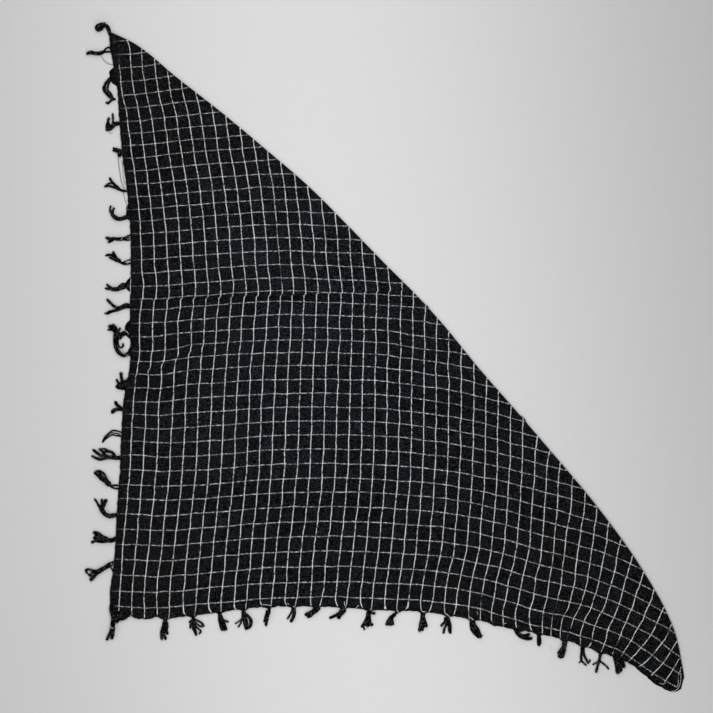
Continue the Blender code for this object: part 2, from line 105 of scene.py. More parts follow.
NICKS = (
    # x, y in photo steps, how far out, half_width: small juts and gaps of the edges
    (655.0, 683.5, 2.6, 5), (648.5, 678.5, -1.2, 5), (668, 691, 1.0, 6), (640.5, 668.5, 1.3, 5),
    (111.5, 559.5, 2.2, 5), (110.6, 577, 2.0, 5), (113.5, 69.5, 1.6, 6), (112.2, 82, 1.8, 5),
    (121.5, 153, 2.2, 4), (120, 149, 1.2, 4), (128, 285, 2.2, 6), (129, 351, 2.0, 4), (121.5, 383, 1.6, 8),
    (112.0, 607, 1.4, 6), (112.3, 592, 1.2, 6),
)
FOLD_NICKS = (
    # the same for the fold
    (427.3, 305.3, 2.2, 4), (523.4, 418.6, 2.8, 5.5),
)

# ---- relief ----
RELIEF_FROM_EDGE, RIPPLE_FROM_EDGE = 20, 12  # creases and ripples are full so far inside the edge
RIPPLES = ((0.45, 3, 90), (0.22, 5, 34))  # height, seed, size
DEEPEST_DIP = 0.6
SCALLOP_ROOT, SCALLOP_REACH = (8, 18), 9  # the hem lifts between these distances from a root
WAVES = 14
CREASES = (
    # x1, y1, x2, y2, height, half_width
    (-455, 108, 70, 116, 2.6, 9),
    (-315, 271, -118, 273, 1.6, 9),
    (-350, 199, -262, 203, 1.3, 9),
    (-250, -46, -28, -48, 1.3, 9),
    (-440, -22, -340, -18, 1.6, 10),
    (80, -62, 240, -103, 2.2, 10),
    (-184, 98, -184, -205, 1.6, 8),
    (-32, -30, -32, -205, 1.3, 8),
    (76, 70, 76, -212, 1.6, 8),
    (-458, 40, -378, -28, 3.0, 9),
    (-456, 2, -396, -50, 2.4, 8),
    (-462, -62, -385, -72, 2.0, 9),
    (-440, 246, -300, 234, 1.6, 12),
    (300, -250, 418, -462, 1.8, 16),
    (392, -330, 470, -520, 1.8, 14),
    (-300, -330, 60, -360, 1.4, 22),
)
SWELLS = (
    # x, y, height, wide, high
    (-220, 165, 2.2, 150, 60),
    (-300, -160, 1.8, 130, 90),
    (60, -200, 1.6, 120, 110),
    (220, -330, 1.8, 120, 70),
    (-120, -350, 1.6, 150, 60),
    (-370, 330, 1.4, 60, 110),
)

# ---- where the white lines run ----
# Weft lines are counted from the top corner, and warp lines from the selvedge.
WEFT = (
    # line, start_y
    (-0.8, 589), (0, 571), (3, 499), (6, 427), (9, 361), (12, 290), (15, 224), (17, 177), (18, 153),
    (19, 129), (20, 106), (21, 87), (22, 63), (25, -6), (28, -78), (30, -126), (33, -201), (34, -228),
    (35, -253), (36, -280), (38, -334), (39, -361), (40, -389), (41, -417), (42, -445), (43, -473),
)
SAG_LINES = (3, 8, 20, 26, 32, 42)
WEFT_SAG = (
    # x, then how far each of SAG_LINES has risen there
    (-514, -2, -2, 0, 0, 1, -2), (-442, 1, 0, 0, 0, 0, -4), (-410, 5, 3, 1, -1, -3, -5),
    (-370, 10, 8, 4, 6, -2, -2), (-298, 18, 14, 9, 11, 2, 5), (-226, 22, 19, 14, 15, 8, 11),
    (-154, 24, 19, 14, 16, 11, 14), (-82, 22, 18, 11, 16, 11, 15), (-10, 20, 14, 8, 13, 9, 12),
    (62, 20, 12, 3, 4, 3, 9), (134, 20, 8, -6, -8, -6, 1), (206, 14, 14, -14, -26, -21, -15),
    (278, 0, 0, -32, -46, -39, -37), (350, -27, -27, -54, -62, -59, -54),
    (422, -54, -54, -76, -83, -83, -82), (494, -90, -90, -108, -119, -119, -119),
    (548, -126, -126, -144, -153, -153, -151),
)
FIRST = (
    # y, x of the first warp line
    (608, -484), (566, -483), (512, -478), (474, -473), (426, -465), (361, -457), (312, -450), (274, -446),
    (228, -442), (176, -440), (125, -437), (104, -439), (68, -443), (22, -444), (-19, -448), (-46, -451),
    (-76, -454), (-120, -457), (-212, -462), (-291, -469), (-364, -475), (-436, -480), (-508, -481),
)
PITCH = (
    (608, 22.1), (428, 22.3), (284, 22.3), (68, 22.8), (-220, 23.3), (-364, 23.3), (-436, 23.1),
    (-598, 22.9),
)
WARP_CLOSING = 0.01638  # the warp lines stand closer towards the right
TIP_FROM, TIP_SHARE = 33.9, (31, 34.5)  # TIP holds from this line, and takes over between these two
TIP_PITCH, TIP_LEAN = 22.1, 0.35  # spacing before TIP_FROM, and the least lean above the fold
TIP = (
    # line, fold_x, fold_y, mid_x, mid_y, hem_x, hem_y
    (34, 312, -192, 303, -338, 285, -494), (36, 358, -243, 337, -418, 314, -503),
    (38, 400, -300, 379, -418, 345, -519), (40, 442, -357, 418, -446, 386, -534),
    (42, 482, -418, 459, -476, 420, -541), (44, 513, -480, 495, -516, 454, -555),
    (45, 523, -509, 504, -542, 478, -569), (46, 528, -543, 515, -564, 500, -586),
    (47, 531, -565, 529.5, -586, 521, -600), (50, 575, -606, 572, -626, 563, -640),
)
NUDGES = (
    # x, y, wide, high, dx, dy: the threads have slipped in the loose weave
    (-284, 204, 105, 165, 3.8, 0), (-20, 160, 110, 45, -2.0, 0), (245, -470, 60, 25, -4.5, 0),
    (44, 50, 110, 110, -3.0, 0), (125, 10, 60, 45, -2.7, 0), (-172, 0, 130, 35, -1.8, 0),
    (-320, -166, 90, 110, 2.7, 0), (-73, -166, 130, 110, 1.6, 0), (181, -427, 130, 55, -4.6, 0),
    (-154, -350, 70, 40, -2.2, 0), (-410, -400, 40, 45, -2.7, 0), (346, -338, 35, 50, -3.6, 0),
    (355, -481, 55, 25, -5.4, 0), (-397, 508, 70, 50, -3.2, 0), (-450, 592, 70, 26, -6.5, 0),
    (508, -584, 68, 68, -6.0, -7.6), (-424, 19, 60, 18, 0, -4.5), (69, 28, 50, 26, 0, -3.2),
)
JOGS = (
    # x1, x2, y1, y2, above, reach_above, below, reach_below: warp lines step aside across a crease
    (-440, 40, 104, 121, 2.1, 17, -1.6, 17),
    (-460, -330, -35, 20, 1.8, 20, -1.8, 22),
)
JOG_END, JOG_TURN = 50, 4  # a jog fades over the first at its ends, and turns over the second
WARP_RANGE, WEFT_RANGE = (-3.0, 50.0), (-3.0, 46.0)
HALVINGS = 22
WARP_GAP, WEFT_GAP = 22.6, 24.6  # mean spacing of the lines
GATHER, GATHER_REACH = 0.95, 7.5  # how the warp bunches into the tassels at the hem
WIDEST_GATHER = 3.4  # roots this many lines apart or more don't gather it

# ---- tassels, read in steps of 1.8 mm: x to the right and y down from the photograph's corner ----
STEP, MIDDLE = 1.8, (385.5, 357.5)
HEM_TASSELS = (
    # one row a tassel, one cord an entry: width, then the points it passes from its root to its end
    ((5.0, (111.5, 606), (112.5, 613), (114, 619.5)), (5.0, (119.5, 611), (118.5, 617), (115.5, 621.5)),
     (4.0, (113.5, 619), (112.5, 623), (112.3, 625.5)),
     (3.0, (111.5, 627), (109.5, 633), (107.5, 637), (106.3, 639.5)),
     (3.0, (113.3, 627), (112.6, 633), (111, 638.5)), (4.2, (112.5, 626.5), (111, 633.5))),
    ((3.0, (165.5, 617), (162.8, 626), (161, 633), (161.3, 639)),
     (2.6, (165.5, 618), (163.6, 628), (163.5, 634), (165.5, 639)),
     (1.6, (166, 620), (167.2, 626), (166.5, 630), (167.6, 633.5)),
     (2.0, (164.5, 622), (165.5, 627), (165, 632), (167, 634))),
    ((3.0, (192.5, 616), (193.5, 622), (194, 628), (195.8, 635)),
     (2.0, (193, 618), (197.5, 620.5), (201, 622.5), (203.5, 626)),
     (1.8, (193.5, 621), (197, 624), (200, 626), (202, 626.5)),
     (1.8, (194, 625), (198, 628.5), (200.5, 631), (198.5, 633.5)),
     (2.0, (192, 619), (190, 624), (189.8, 628)), (2.2, (192.5, 620), (192.5, 628), (195, 632)),
     (1.6, (192.5, 618), (188.5, 622))),
    ((3.4, (219.5, 611.5), (219.3, 619), (221, 626), (222.5, 630)),
     (3.0, (219.5, 614), (223, 622), (226, 629.5)), (2.0, (220.5, 617), (224.5, 620.5), (228, 621.5)),
     (2.6, (219, 617), (222, 625), (224.5, 630))),
    ((3.6, (243, 608), (243, 614), (244.5, 622), (246, 629)),
     (1.8, (242, 612), (241.5, 618), (240, 623), (237.5, 627)),
     (1.4, (241.5, 618), (237.5, 621.5), (234.5, 623.5)),
     (3.0, (244, 613), (248, 616), (250.5, 620), (250, 625), (247.5, 628)),
     (2.6, (243.5, 614), (246, 620), (247, 626))),
    ((2.8, (269, 606), (268.6, 611), (268, 614)), (4.4, (268, 610.5), (266.4, 616), (265.6, 620)),
     (2.6, (267, 616), (266, 621), (265.5, 625.3)), (2.2, (266.5, 616), (263.4, 621.5))),
    ((3.2, (293.4, 606), (293.8, 612), (292.8, 617), (290.2, 621.5)),
     (1.8, (292, 607), (290.7, 612), (288.9, 615.5), (286.9, 618.6)), (2.0, (294, 605), (293, 609))),
    ((5.0, (318.5, 607), (314, 610.5), (310, 613.4), (307.4, 614.6)),
     (3.0, (312, 611), (308, 613), (304.6, 614.6)), (2.6, (312.5, 612.6), (310, 615.6), (307, 616.6))),
    ((4.8, (343, 607.5), (340.5, 612), (336.5, 615.2)), (3.0, (338, 613.8), (333.5, 615.8), (329.2, 617.6)),
     (3.6, (342, 611), (339.5, 615), (337.7, 617.8)), (2.8, (345, 609.5), (342, 613), (338, 615))),
    ((3.4, (368, 611.5), (366.2, 619), (363.4, 624), (361.3, 626.5)),
     (4.2, (368, 612), (368, 620), (367, 626)),
     (2.6, (368.6, 614), (369.5, 620), (370.6, 624.5), (372.5, 624)),
     (1.8, (365, 621), (363, 626), (364, 629.5)), (2.6, (369, 611), (372, 612.6), (374.5, 613))),
    ((2.6, (399.5, 610.3), (396, 612.5), (393, 615)),
     (3.6, (394.5, 613.8), (390, 617.5), (388, 621), (386, 624.5)),
     (3.4, (391.5, 617), (390.5, 620.5), (389.5, 623.5)), (3.2, (391.5, 615.5), (390.3, 621), (389.4, 625)),
     (2.4, (391, 618), (392.3, 622), (392.6, 624.5))),
    ((4.2, (422.5, 611), (422, 618), (421, 623), (419, 630.5)),
     (3.0, (422.5, 615), (424.5, 621.5), (426, 626.5)), (3.0, (422, 618), (423, 625), (421.5, 630)),
     (2.0, (421.5, 620), (419, 625))),
    ((2.4, (445, 617), (444, 622), (441.5, 624.5), (440.5, 626)),
     (2.4, (446, 617), (446, 624), (444, 628), (443, 633)),
     (2.6, (447.5, 617), (449.5, 623), (450, 628), (449.5, 633)),
     (2.0, (447, 619), (448, 626), (448.5, 631))),
    ((2.2, (470.5, 617), (470, 624), (471, 629), (472.5, 632)),
     (3.4, (471.5, 618), (474, 624), (477.5, 630), (480, 637)), (3.2, (471.5, 621), (474, 628), (478, 634)),
     (2.6, (472, 630.5), (475.5, 634.5), (478.5, 637.5)), (1.2, (478.5, 636), (482.3, 635.3))),
    ((3.0, (490.5, 621.5), (493.5, 623.8), (496, 624.3)),),
    ((3.6, (513.5, 627), (517, 632.5), (521, 636.4), (526, 638), (531.5, 638)),
     (2.8, (516.5, 630.5), (520.5, 634.7), (525, 635), (529, 633.8))),
    ((3.6, (539.7, 628.5), (538.4, 634), (538.3, 640), (538.5, 645)),
     (1.4, (539, 634), (540.3, 640), (540.5, 643.5))),
    ((4.4, (565, 638.5), (563.6, 645), (562.6, 651)), (5.4, (562.8, 648.5), (561, 652), (559.6, 654.6)),
     (4.8, (562.5, 648), (560, 652), (558, 653.6)), (4.0, (563, 648), (562.3, 654), (560.5, 657)),
     (3.0, (562, 650), (559.5, 655), (558.5, 657))),
    ((2.4, (581.5, 645.5), (581, 653), (580.6, 658), (581, 661.5)),
     (2.4, (583, 647), (583.5, 654), (586, 660), (588, 663)),
     (1.6, (587.5, 662.5), (589.3, 661), (589.6, 659.3)), (1.8, (581, 660.5), (584, 663.5), (586, 665)),
     (1.2, (581, 660), (578.5, 662.5))),
    ((3.0, (600.5, 652.5), (599.5, 656), (598.5, 661)), (2.6, (599, 659), (597, 666), (595.6, 672)),
     (1.8, (599, 660.5), (603, 663.5), (606, 666), (608.5, 669)),
     (1.6, (598.5, 661), (595, 662.8), (592.5, 664.5))),
    ((4.0, (615.5, 656.5), (616, 664), (617.5, 673)), (3.4, (618.5, 656.5), (619.5, 665), (620, 671)),
     (3.2, (621.5, 656.5), (622.3, 662), (623.6, 667)), (2.0, (613, 656.5), (614.5, 662), (616, 667))),
)
SIDE_TASSELS = (
    ((3.4, (110, 35), (108.4, 30), (106.6, 25.8), (103, 24.2)),
     (5.2, (105, 24.6), (100.5, 25.6), (96.6, 28)), (3.0, (105, 23.4), (100, 23.8), (96, 25.6)),
     (2.6, (102.5, 27.8), (99, 29.4), (96.8, 30.2)), (2.0, (96.6, 25), (95.4, 27), (96.2, 29.8))),
    ((3.4, (104, 50.5), (100, 52.6), (95, 52.8), (90, 52), (86.3, 53)),
     (1.8, (111, 49.5), (108.5, 46.8), (105.8, 47.6), (103.5, 50)),
     (2.0, (111, 51), (107, 51.3), (103.5, 51)), (1.4, (88, 51.5), (86.5, 54))),
    ((2.8, (109.5, 77), (106, 82), (103.8, 86), (103.8, 89.5), (107, 94), (110.5, 97.5), (114.5, 99)),
     (2.1, (110, 79), (107.6, 85), (107, 89), (110, 93), (112.5, 97.5)),
     (2.2, (114, 98.5), (110.5, 100), (107.5, 102.5), (105.3, 102)),
     (1.6, (109, 79.5), (106, 81), (104.5, 82.5)), (1.4, (104, 86), (101.8, 87.6))),
    ((4.0, (118.5, 122.5), (114, 124), (110, 127), (106, 127.6)),
     (2.3, (106, 127.5), (107, 122), (108.4, 117.3)), (2.0, (112.5, 124.5), (112.4, 118), (112, 112.8)),
     (2.8, (113.5, 126), (109, 129), (105.5, 129.2)), (2.6, (108, 126), (108, 121.5)),
     (3.4, (113, 124.6), (110, 126), (107, 127))),
    ((3.4, (121.5, 151.5), (118.4, 153), (119.6, 156)), (2.1, (121, 150), (116, 148.5), (112.5, 147.6)),
     (2.3, (120.5, 152), (115.5, 150.8), (112.4, 149.7)), (2.6, (121, 149.5), (118, 151.5))),
    ((2.4, (126.5, 190.5), (121, 190), (117, 186.7), (113, 183), (110.5, 180), (109, 177.3)),
     (2.3, (125, 191), (119, 189), (114, 187), (108.5, 185.5), (104, 186)),
     (1.8, (112, 182.5), (108, 183.2), (105.3, 184.5))),
    ((3.8, (129, 215), (124, 217.3), (119, 218.5), (114, 216.5), (111, 213)),
     (2.0, (112, 214.5), (109.6, 209.5), (110, 205.3)), (2.2, (112.3, 214), (112.5, 210), (113.6, 207.3)),
     (1.8, (128.5, 219), (126, 217.5), (123, 218.5))),
    ((3.2, (125.5, 238), (122, 238.3), (118, 238.6), (113, 238.2), (109, 238.3), (105.6, 237)),
     (1.4, (130, 234.3), (126.3, 235.6), (122.5, 237.8)), (1.5, (130, 239.4), (125.5, 239.6), (122, 238.8)),
     (2.2, (113, 239.3), (110, 241), (107.5, 241.6)), (1.5, (129.5, 236.6), (126.5, 237.5), (124, 238))),
    ((2.2, (126, 263.6), (119, 261.5), (114, 259.5), (108.8, 256.8)),
     (2.6, (120, 260.5), (115, 256.5), (112.5, 251.3)), (2.4, (115, 257), (110, 254.3), (105.3, 255)),
     (1.4, (130, 259), (126, 260.3), (122, 262)), (1.6, (130, 262.6), (125, 264), (120, 262.5))),
    ((4.0, (127.5, 285), (122, 287), (117, 288.5), (112, 288.8), (108.5, 287)),
     (2.2, (112, 287.5), (108, 285.5), (106.3, 283.8)), (2.0, (111, 289), (107, 288.5), (104.4, 287.6)),
     (1.6, (126.5, 283), (121, 283.5), (118, 286))),
    ((2.8, (130, 305), (125, 304), (121.5, 306), (117, 307.3), (113, 305.4), (109.5, 302), (106.4, 299)),
     (2.8, (129.5, 306.5), (124, 306.8), (119, 309), (113, 310.4), (109, 311.6), (106.3, 313.5)),
     (1.4, (108.5, 311.5), (104, 313))),
    ((4.4, (129, 331), (124, 332.5), (119.5, 334), (115.5, 331), (112, 327.5), (108.8, 325.3)),
     (3.8, (128.5, 353), (123, 355), (119, 352.5), (116, 348.5), (115, 342), (114.8, 336), (116, 331.5)),
     (2.0, (117, 332), (115.5, 327), (112, 323.8)), (1.8, (113, 329.5), (110, 329.5), (107.3, 329.3)),
     (1.8, (118, 336), (117.5, 342), (119.5, 347), (122.5, 346), (122.3, 343)),
     (2.0, (129.5, 336), (125.5, 334), (122, 335.5), (119.3, 338.5)),
     (2.0, (118, 336), (118, 331), (119.5, 327.5))),
    ((5.2, (129, 383), (124, 384.5), (120, 385.3), (117.5, 386.5)),
     (3.2, (122.5, 384), (121.2, 378), (120.4, 372.3)), (2.0, (121, 384), (117.6, 382), (115.8, 378.8)),
     (2.0, (121, 387), (117, 387.5), (115.3, 386)), (2.0, (128, 380), (123, 381.5), (119, 383)),
     (2.0, (126, 388), (121.5, 388.6), (118.5, 388))),
    ((3.2, (123, 409), (118, 409), (114, 410.2), (111.2, 412.3)),
     (3.0, (121, 407.5), (117, 405), (114.6, 401.3)), (1.8, (117, 408), (113.5, 408.6), (111, 410.5))),
    ((1.5, (121.5, 435.8), (116, 435.2), (111, 434.6), (107, 437), (104, 439.5), (102, 442)),
     (1.5, (121.5, 432.3), (116, 430.4), (112, 430.2), (108, 433), (104.3, 436.5), (101.8, 441.5)),
     (0.9, (119.5, 434), (114, 432.7), (110, 432.8), (106, 436.6), (103, 440.5))),
    ((4.2, (121, 457), (115, 457.4), (110, 456.6)),
     (2.8, (112, 457), (106, 456), (100, 454.8), (96, 452), (92.4, 449.4)),
     (2.6, (111, 457.5), (104, 458), (100, 459), (95, 457.5), (91.4, 455.5)),
     (2.0, (108, 456), (104, 453.5), (101, 450.5), (98.4, 448.4)),
     (2.6, (103, 452), (106, 450.8), (110, 451.4), (113, 453), (114.3, 455.8)),
     (1.5, (99, 449), (103, 448.3), (107.3, 449.6))),
    ((4.6, (109, 484.5), (106, 481), (102, 477.5), (98, 473.5), (95, 471.6)),
     (1.8, (120.5, 485), (114, 485), (109, 485.4)), (1.8, (120, 488), (114, 488), (109.5, 485.8)),
     (1.8, (110.6, 483.6), (107, 479.5), (104.6, 474.5), (100.5, 471), (97, 469.8)),
     (1.8, (105, 482), (100, 479), (97, 475.5), (93.4, 472.4))),
    ((4.2, (119, 513.5), (113, 515), (108, 515.4), (104, 513), (101.5, 509), (100, 505)),
     (2.2, (101, 509.5), (97.5, 504), (95.5, 500.5), (94, 498.4)),
     (2.2, (102, 508), (101.6, 503), (101, 498.8)), (3.0, (102.5, 508), (104, 503), (104.6, 499.5)),
     (1.8, (104, 503), (105.8, 501.5), (106, 499))),
    ((4.6, (116, 538), (111, 540), (106, 539.5), (101, 538)),
     (3.0, (107, 538.5), (101, 535.2), (97, 532.6), (92.8, 532)),
     (2.6, (106.5, 539.5), (100, 538), (95.5, 537.6), (93, 537)),
     (2.6, (107, 541), (100, 541.4), (95, 540.5), (91, 542.2)),
     (3.2, (105, 538), (100, 536.3), (95.5, 535)), (1.3, (96, 532), (94.5, 535), (93.5, 538.5))),
    ((4.2, (112, 563), (107.5, 565.5), (102, 568.6), (97, 571.8), (93, 575.5)),
     (3.4, (100, 570), (96, 573), (92.6, 576.8), (90, 580)),
     (2.4, (98, 571), (92, 570), (87, 569), (84.8, 570.4)), (2.0, (85, 570.2), (88, 574), (92, 576.5)),
     (1.4, (93.5, 570.5), (90.5, 573), (88, 575.5)), (1.6, (114, 561), (110, 562.3), (107, 563.5)),
     (1.4, (113.5, 573), (110.8, 568), (108.5, 565.3))),
)
LOOSE_AND_SHADOW = (
    # pale loose threads beside the left edge and at the hem, in a grey darker than the floor that also paints
    # the shadow beside them: width, points
    (0.9, (100.5, 55), (103.5, 60), (108, 63), (113, 64.5)),
    (1.1, (117, 152), (118.2, 165), (119.6, 174), (121, 182), (124, 188.5)),
    (0.7, (121, 160), (122, 168), (122.6, 176), (124, 184)),
    (0.8, (122.5, 192), (124.2, 199), (126, 205), (126, 210)),
    (0.4, (560.5, 641), (559.6, 645), (560.4, 648)), (0.4, (108, 131.5), (110, 133), (112.5, 132.2)),
    (0.4, (109, 207), (107.9, 210), (108.6, 213.5)),
)
FLECKS_AND_RIM_HIGHLIGHT = (
    # bright ends of the white yarns at the gathers, and a pale thread that is a painted highlight along the
    # tip's rolled edge: width, points
    (0.65, (262, 604.2), (266, 604.3), (270, 605)), (0.6, (287, 602.8), (288.6, 604)),
    (0.7, (292.6, 605.3), (294.8, 607)), (0.7, (320, 601.5), (320.2, 605)), (0.7, (344, 601), (344.1, 605)),
    (0.6, (355.5, 607), (358.2, 604.8)), (0.7, (396.5, 609.5), (399, 613)),
    (0.9, (421.3, 610.8), (425.3, 611)), (0.9, (445.3, 613), (449, 616)), (0.8, (470, 616.8), (473, 619.3)),
    (0.6, (503.6, 623), (506, 622.8)), (0.7, (126.6, 354), (127.3, 357), (129.3, 358.8)),
    (0.6, (121.7, 352.5), (123, 351.6), (124.4, 352.4), (123.2, 353.8)),
    (0.6, (124.6, 330.2), (126.4, 331), (128.2, 333.6)),
    (0.7, (109.9, 626), (111.4, 626.9), (113.6, 627.2)), (0.6, (110.6, 562.5), (112.2, 564.6)),
    (0.6, (125.6, 259.5), (127.6, 261.8)), (0.5, (120.6, 239.5), (122.4, 237.3)),
    (0.5, (583, 657), (586, 662.6)), (0.55, (665.2, 682), (662.5, 683.5), (659, 682.5)),
    # painted highlight: a pale thread along the rolled edge of the tip
    (0.6, (679.6, 669), (680.2, 676), (679.6, 683), (677.6, 687.6), (674, 690.2), (670.5, 690.6)),
    (0.7, (407.2, 601.5), (408, 604.5), (407.2, 608)), (0.5, (477.3, 604), (477.2, 609)),
    (0.5, (476.8, 611), (477, 614)), (0.5, (549.5, 645), (549.7, 649)), (0.5, (586.3, 647.8), (588.6, 646)),
    (0.6, (542.5, 629.5), (541.4, 632.4)), (0.5, (601.5, 655), (602.3, 658)),
    (0.5, (129.5, 615.6), (130.8, 614)),
)
FADES = (
    # where the white lines are faint or missing: x, y, wide, high, then what is left of the warp lines
    # and of the weft lines
    (116.0, 45, 7.5, 26, 0.0, 0.55), (687, 679, 4.8, 15, 0.0, 0.0), (681.5, 643, 3.4, 13, 0.0, 1.0),
    (685, 668, 3.6, 14, 0.0, 0.3), (680, 696, 9, 5, 0.0, 0.0), (135.5, 382.5, 4, 5, 0.15, 1.0),
    (273, 192, 4, 18, 0.6, 1.0), (275.5, 222, 4, 19, 0.4, 1.0), (279.5, 256, 4, 22, 0.4, 1.0),
    (144, 75, 4, 27, 0.55, 1.0), (334, 601, 26, 4, 1.0, 0.75), (150, 92, 34, 56, 0.8, 0.82),
    (279, 276, 6, 15, 0.1, 1.0), (142.7, 595, 4, 12, 0.5, 1.0), (408, 580, 4, 18, 0.45, 1.0),
    (481, 598.5, 5, 5.5, 0.0, 1.0), (480.5, 609, 5, 5.5, 0.4, 1.0), (554, 605, 6, 17, 0.0, 1.0),
    (570, 632, 5, 7, 0.0, 1.0), (616.5, 650, 6, 11, 0.0, 1.0), (446, 400.8, 15, 4, 1.0, 0.3),
    (467, 405.5, 8, 4, 1.0, 0.12), (426, 571, 4, 6, 0.15, 1.0), (592.3, 640.3, 4, 3, 0.0, 1.0),
    (116, 62, 4, 40, 1.0, 0.5),
)

CREASE_SHADE_AND_TONES = (
    # where the black is a little paler or deeper: the narrow stripes are painted shade and painted light
    # along the creases, and the broad patches a paler or deeper tone; x, y, wide, high, times
    (265, 235, 62, 85, 1.1), (300, 300, 90, 60, 1.04), (150, 190, 42, 105, 0.86), (205, 432, 62, 36, 1.15),
    (330, 555, 190, 62, 0.87), (360, 470, 55, 42, 0.94), (400, 560, 60, 40, 0.93), (400, 372, 60, 26, 0.87),
    (150, 372, 40, 34, 0.9), (455, 405, 66, 9, 0.8), (270, 298, 150, 3.4, 0.58), (225, 212, 75, 3.4, 0.8),
    (262, 213, 45, 4.0, 0.88), (165, 345, 36, 4.5, 0.76), (160, 388, 40, 5, 0.76), (240, 386, 75, 5, 0.85),
    (284, 385, 5, 85, 1.14), (320, 250, 5, 60, 1.08), (425, 395, 4, 70, 0.84), (250, 490, 60, 6, 0.86),
    (360, 500, 46, 12, 0.86), (220, 505, 46, 4, 0.84), (575, 560, 50, 40, 1.06), (640, 640, 40, 40, 1.12),
    (125, 300, 8, 300, 0.9),
)
HEM_SHORT_X, HEM_SHORT, HEM_FADE = (380, 440), (1.8, 3.0), 2.6  # the warp lines end so far from the hem
EDGE_LOSS, EDGE_LOSS_REACH = 0.72, 0.15  # weft lines are faint beyond the first warp line
LAST_WEFT, LAST_WEFT_REACH, LAST_LOSS = 42.4, 0.3, 0.25  # and below the last weft line
OUT_LOSS, OUT_REACH = 0.85, 6.0  # and where the cloth stands out past the selvedge
LOWER_PLAIN_X = 425  # the lower layer shows no lines to the right of this
BLUE_MIDDLE, BLUE_SIZE = (-110, -20), (330, 420)  # the black is bluest there

# ---- yarn ----
YARN_SQUASH = 0.75  # how flat the twisted cords lie
STEEP = 0.15  # a path this close to upright takes its side from the X axis
CORD_FULLNESS, CORD_STEP, CORD_ENDS = 1.14, 0.7, (0.85, 0.8)
CORD_PILE = 0.5  # each of a tassel's first cords lies so much higher than the one before
ROOT_TAPER = 5.0  # a tassel's first cord comes down from the cloth over this length
THREE_PLY_WIDTH = 4.6  # cords wider than this have three plies
FRAY_GAP = 1.2
FIBRE_RADII = (0.28, 0.2, 0.09)
FIBRE_SHARE, FIBRE_Z, FIBRE_LENGTH = 0.75, 1.8, 1.6  # of the fibres along the edges
THREAD_STEP, THREAD_PITCH, THREAD_ENDS = 0.8, 2.6, (0.8, 0.8)
THREAD_REACH, THREAD_LIFT = 1.7, 0.45  # a single thread rests so high over what is so near below it
TIP_HIGHLIGHT_X = 678  # threads that start to the right of this lie on the fold's roll; only the painted highlight along the tip's rolled edge does

# ---- colours and the stage ----
THREADS = 28.0  # threads in one check, each way
DRIFTS = ((28.0, 0.045), (160.0, 0.018))  # scale, and how far the threads wander in checks
NEUTRAL, BLUE = (0.0099, 0.0099, 0.0107, 1.0), (0.0092, 0.0118, 0.0155, 1.0)
WHITE = (0.93, 0.955, 0.995)
# near black, and a paler grey for fibre tufts that also paints highlights on the strands
BLACK_YARN = ((0.0002, 0.0002, 0.0003, 1.0), (0.068, 0.069, 0.071, 1.0))
# the grey of the loose threads, darker than the floor, also paints their shadow on it
PALE_YARN_AND_SHADOW = ((0.24, 0.24, 0.24, 1.0), (0.38, 0.38, 0.38, 1.0))
WHITE_YARN = ((0.42, 0.42, 0.43, 1.0), (0.85, 0.85, 0.86, 1.0))
PAPER = ((0.705, 0.705, 0.705, 1.0), (0.72, 0.72, 0.72, 1.0))
FLOOR_HALF, FLOOR_Z = 6.0, -0.0002
STUDIO_LIGHT = 0.405
LIGHTS = (
    # name, place, turn in degrees, size, power
    ("strip", (-0.07, 0.0, 0.85), 6.3, (0.35, 4.0), 12.9),
    ("fill", (-2.1, -0.4, 1.2), 0.0, (0.6, 0.6), 8.7),
)
CAMERA_PLACE, CAMERA_LENS, CAMERA_SENSOR, CAMERA_FAR = (-0.0534, 0.0005, 3.003), 84.15, 36.0, 50.0


# ---------------------------------------------------------------- curves and tables
def plan(point):
    """Table millimetres of a place read in steps from the photograph's corner."""
    return np.array([(point[0] - MIDDLE[0]) * STEP, (MIDDLE[1] - point[1]) * STEP])


def unit(value):
    """The value, held between 0 and 1."""
    return np.clip(value, 0, 1)


def rise(value, start, end):
    """0 up to start, 1 from end on, and straight between."""
    return unit((value - start) / (end - start))


def eased(share):
    return share * share * (3 - 2 * share)


def bell(offset, reach):
    return np.exp(-((offset / reach) ** 2))


def hill(at, middle, wide, high, power=2):
    """1 at a place, and less around it. A higher power gives a flatter top."""
    return np.exp(-(((at[:, 0] - middle[0]) / wide) ** power) - ((at[:, 1] - middle[1]) / high) ** power)


def column(table, index):
    return np.array([row[index] for row in table], float)


def smooth_through(points, values, x):
    """A smooth curve through the given stations, read at x."""
    points, values = np.asarray(points, float), np.asarray(values, float)
    order = np.argsort(points)
    points, values = points[order], values[order]
    slope = np.gradient(values, points)
    k = np.clip(np.searchsorted(points, x, side="right") - 1, 0, len(points) - 2)
    step = points[k + 1] - points[k]
    u = np.clip((x - points[k]) / step, -0.3, 1.3)
    return (
        (2 * u**3 - 3 * u**2 + 1) * values[k]
        + (u**3 - 2 * u**2 + u) * step * slope[k]
        + (3 * u**2 - 2 * u**3) * values[k + 1]
        + (u**3 - u**2) * step * slope[k + 1]
    )


def read(table, x, index=1):
    """A column of a table, read smoothly at x of its first column."""
    return smooth_through(column(table, 0), column(table, index), x)


def run_lengths(path):
    return np.concatenate([[0], np.cumsum(np.linalg.norm(np.diff(path, axis=0), axis=1))])


def resample(path, step):
    """Points evenly spaced along a path, from its first point to its last."""
    along = run_lengths(path)
    at = np.linspace(0, along[-1], max(2, round(along[-1] / step)) + 1)
    return np.stack([np.interp(at, along, path[:, k]) for k in range(2)], axis=1)


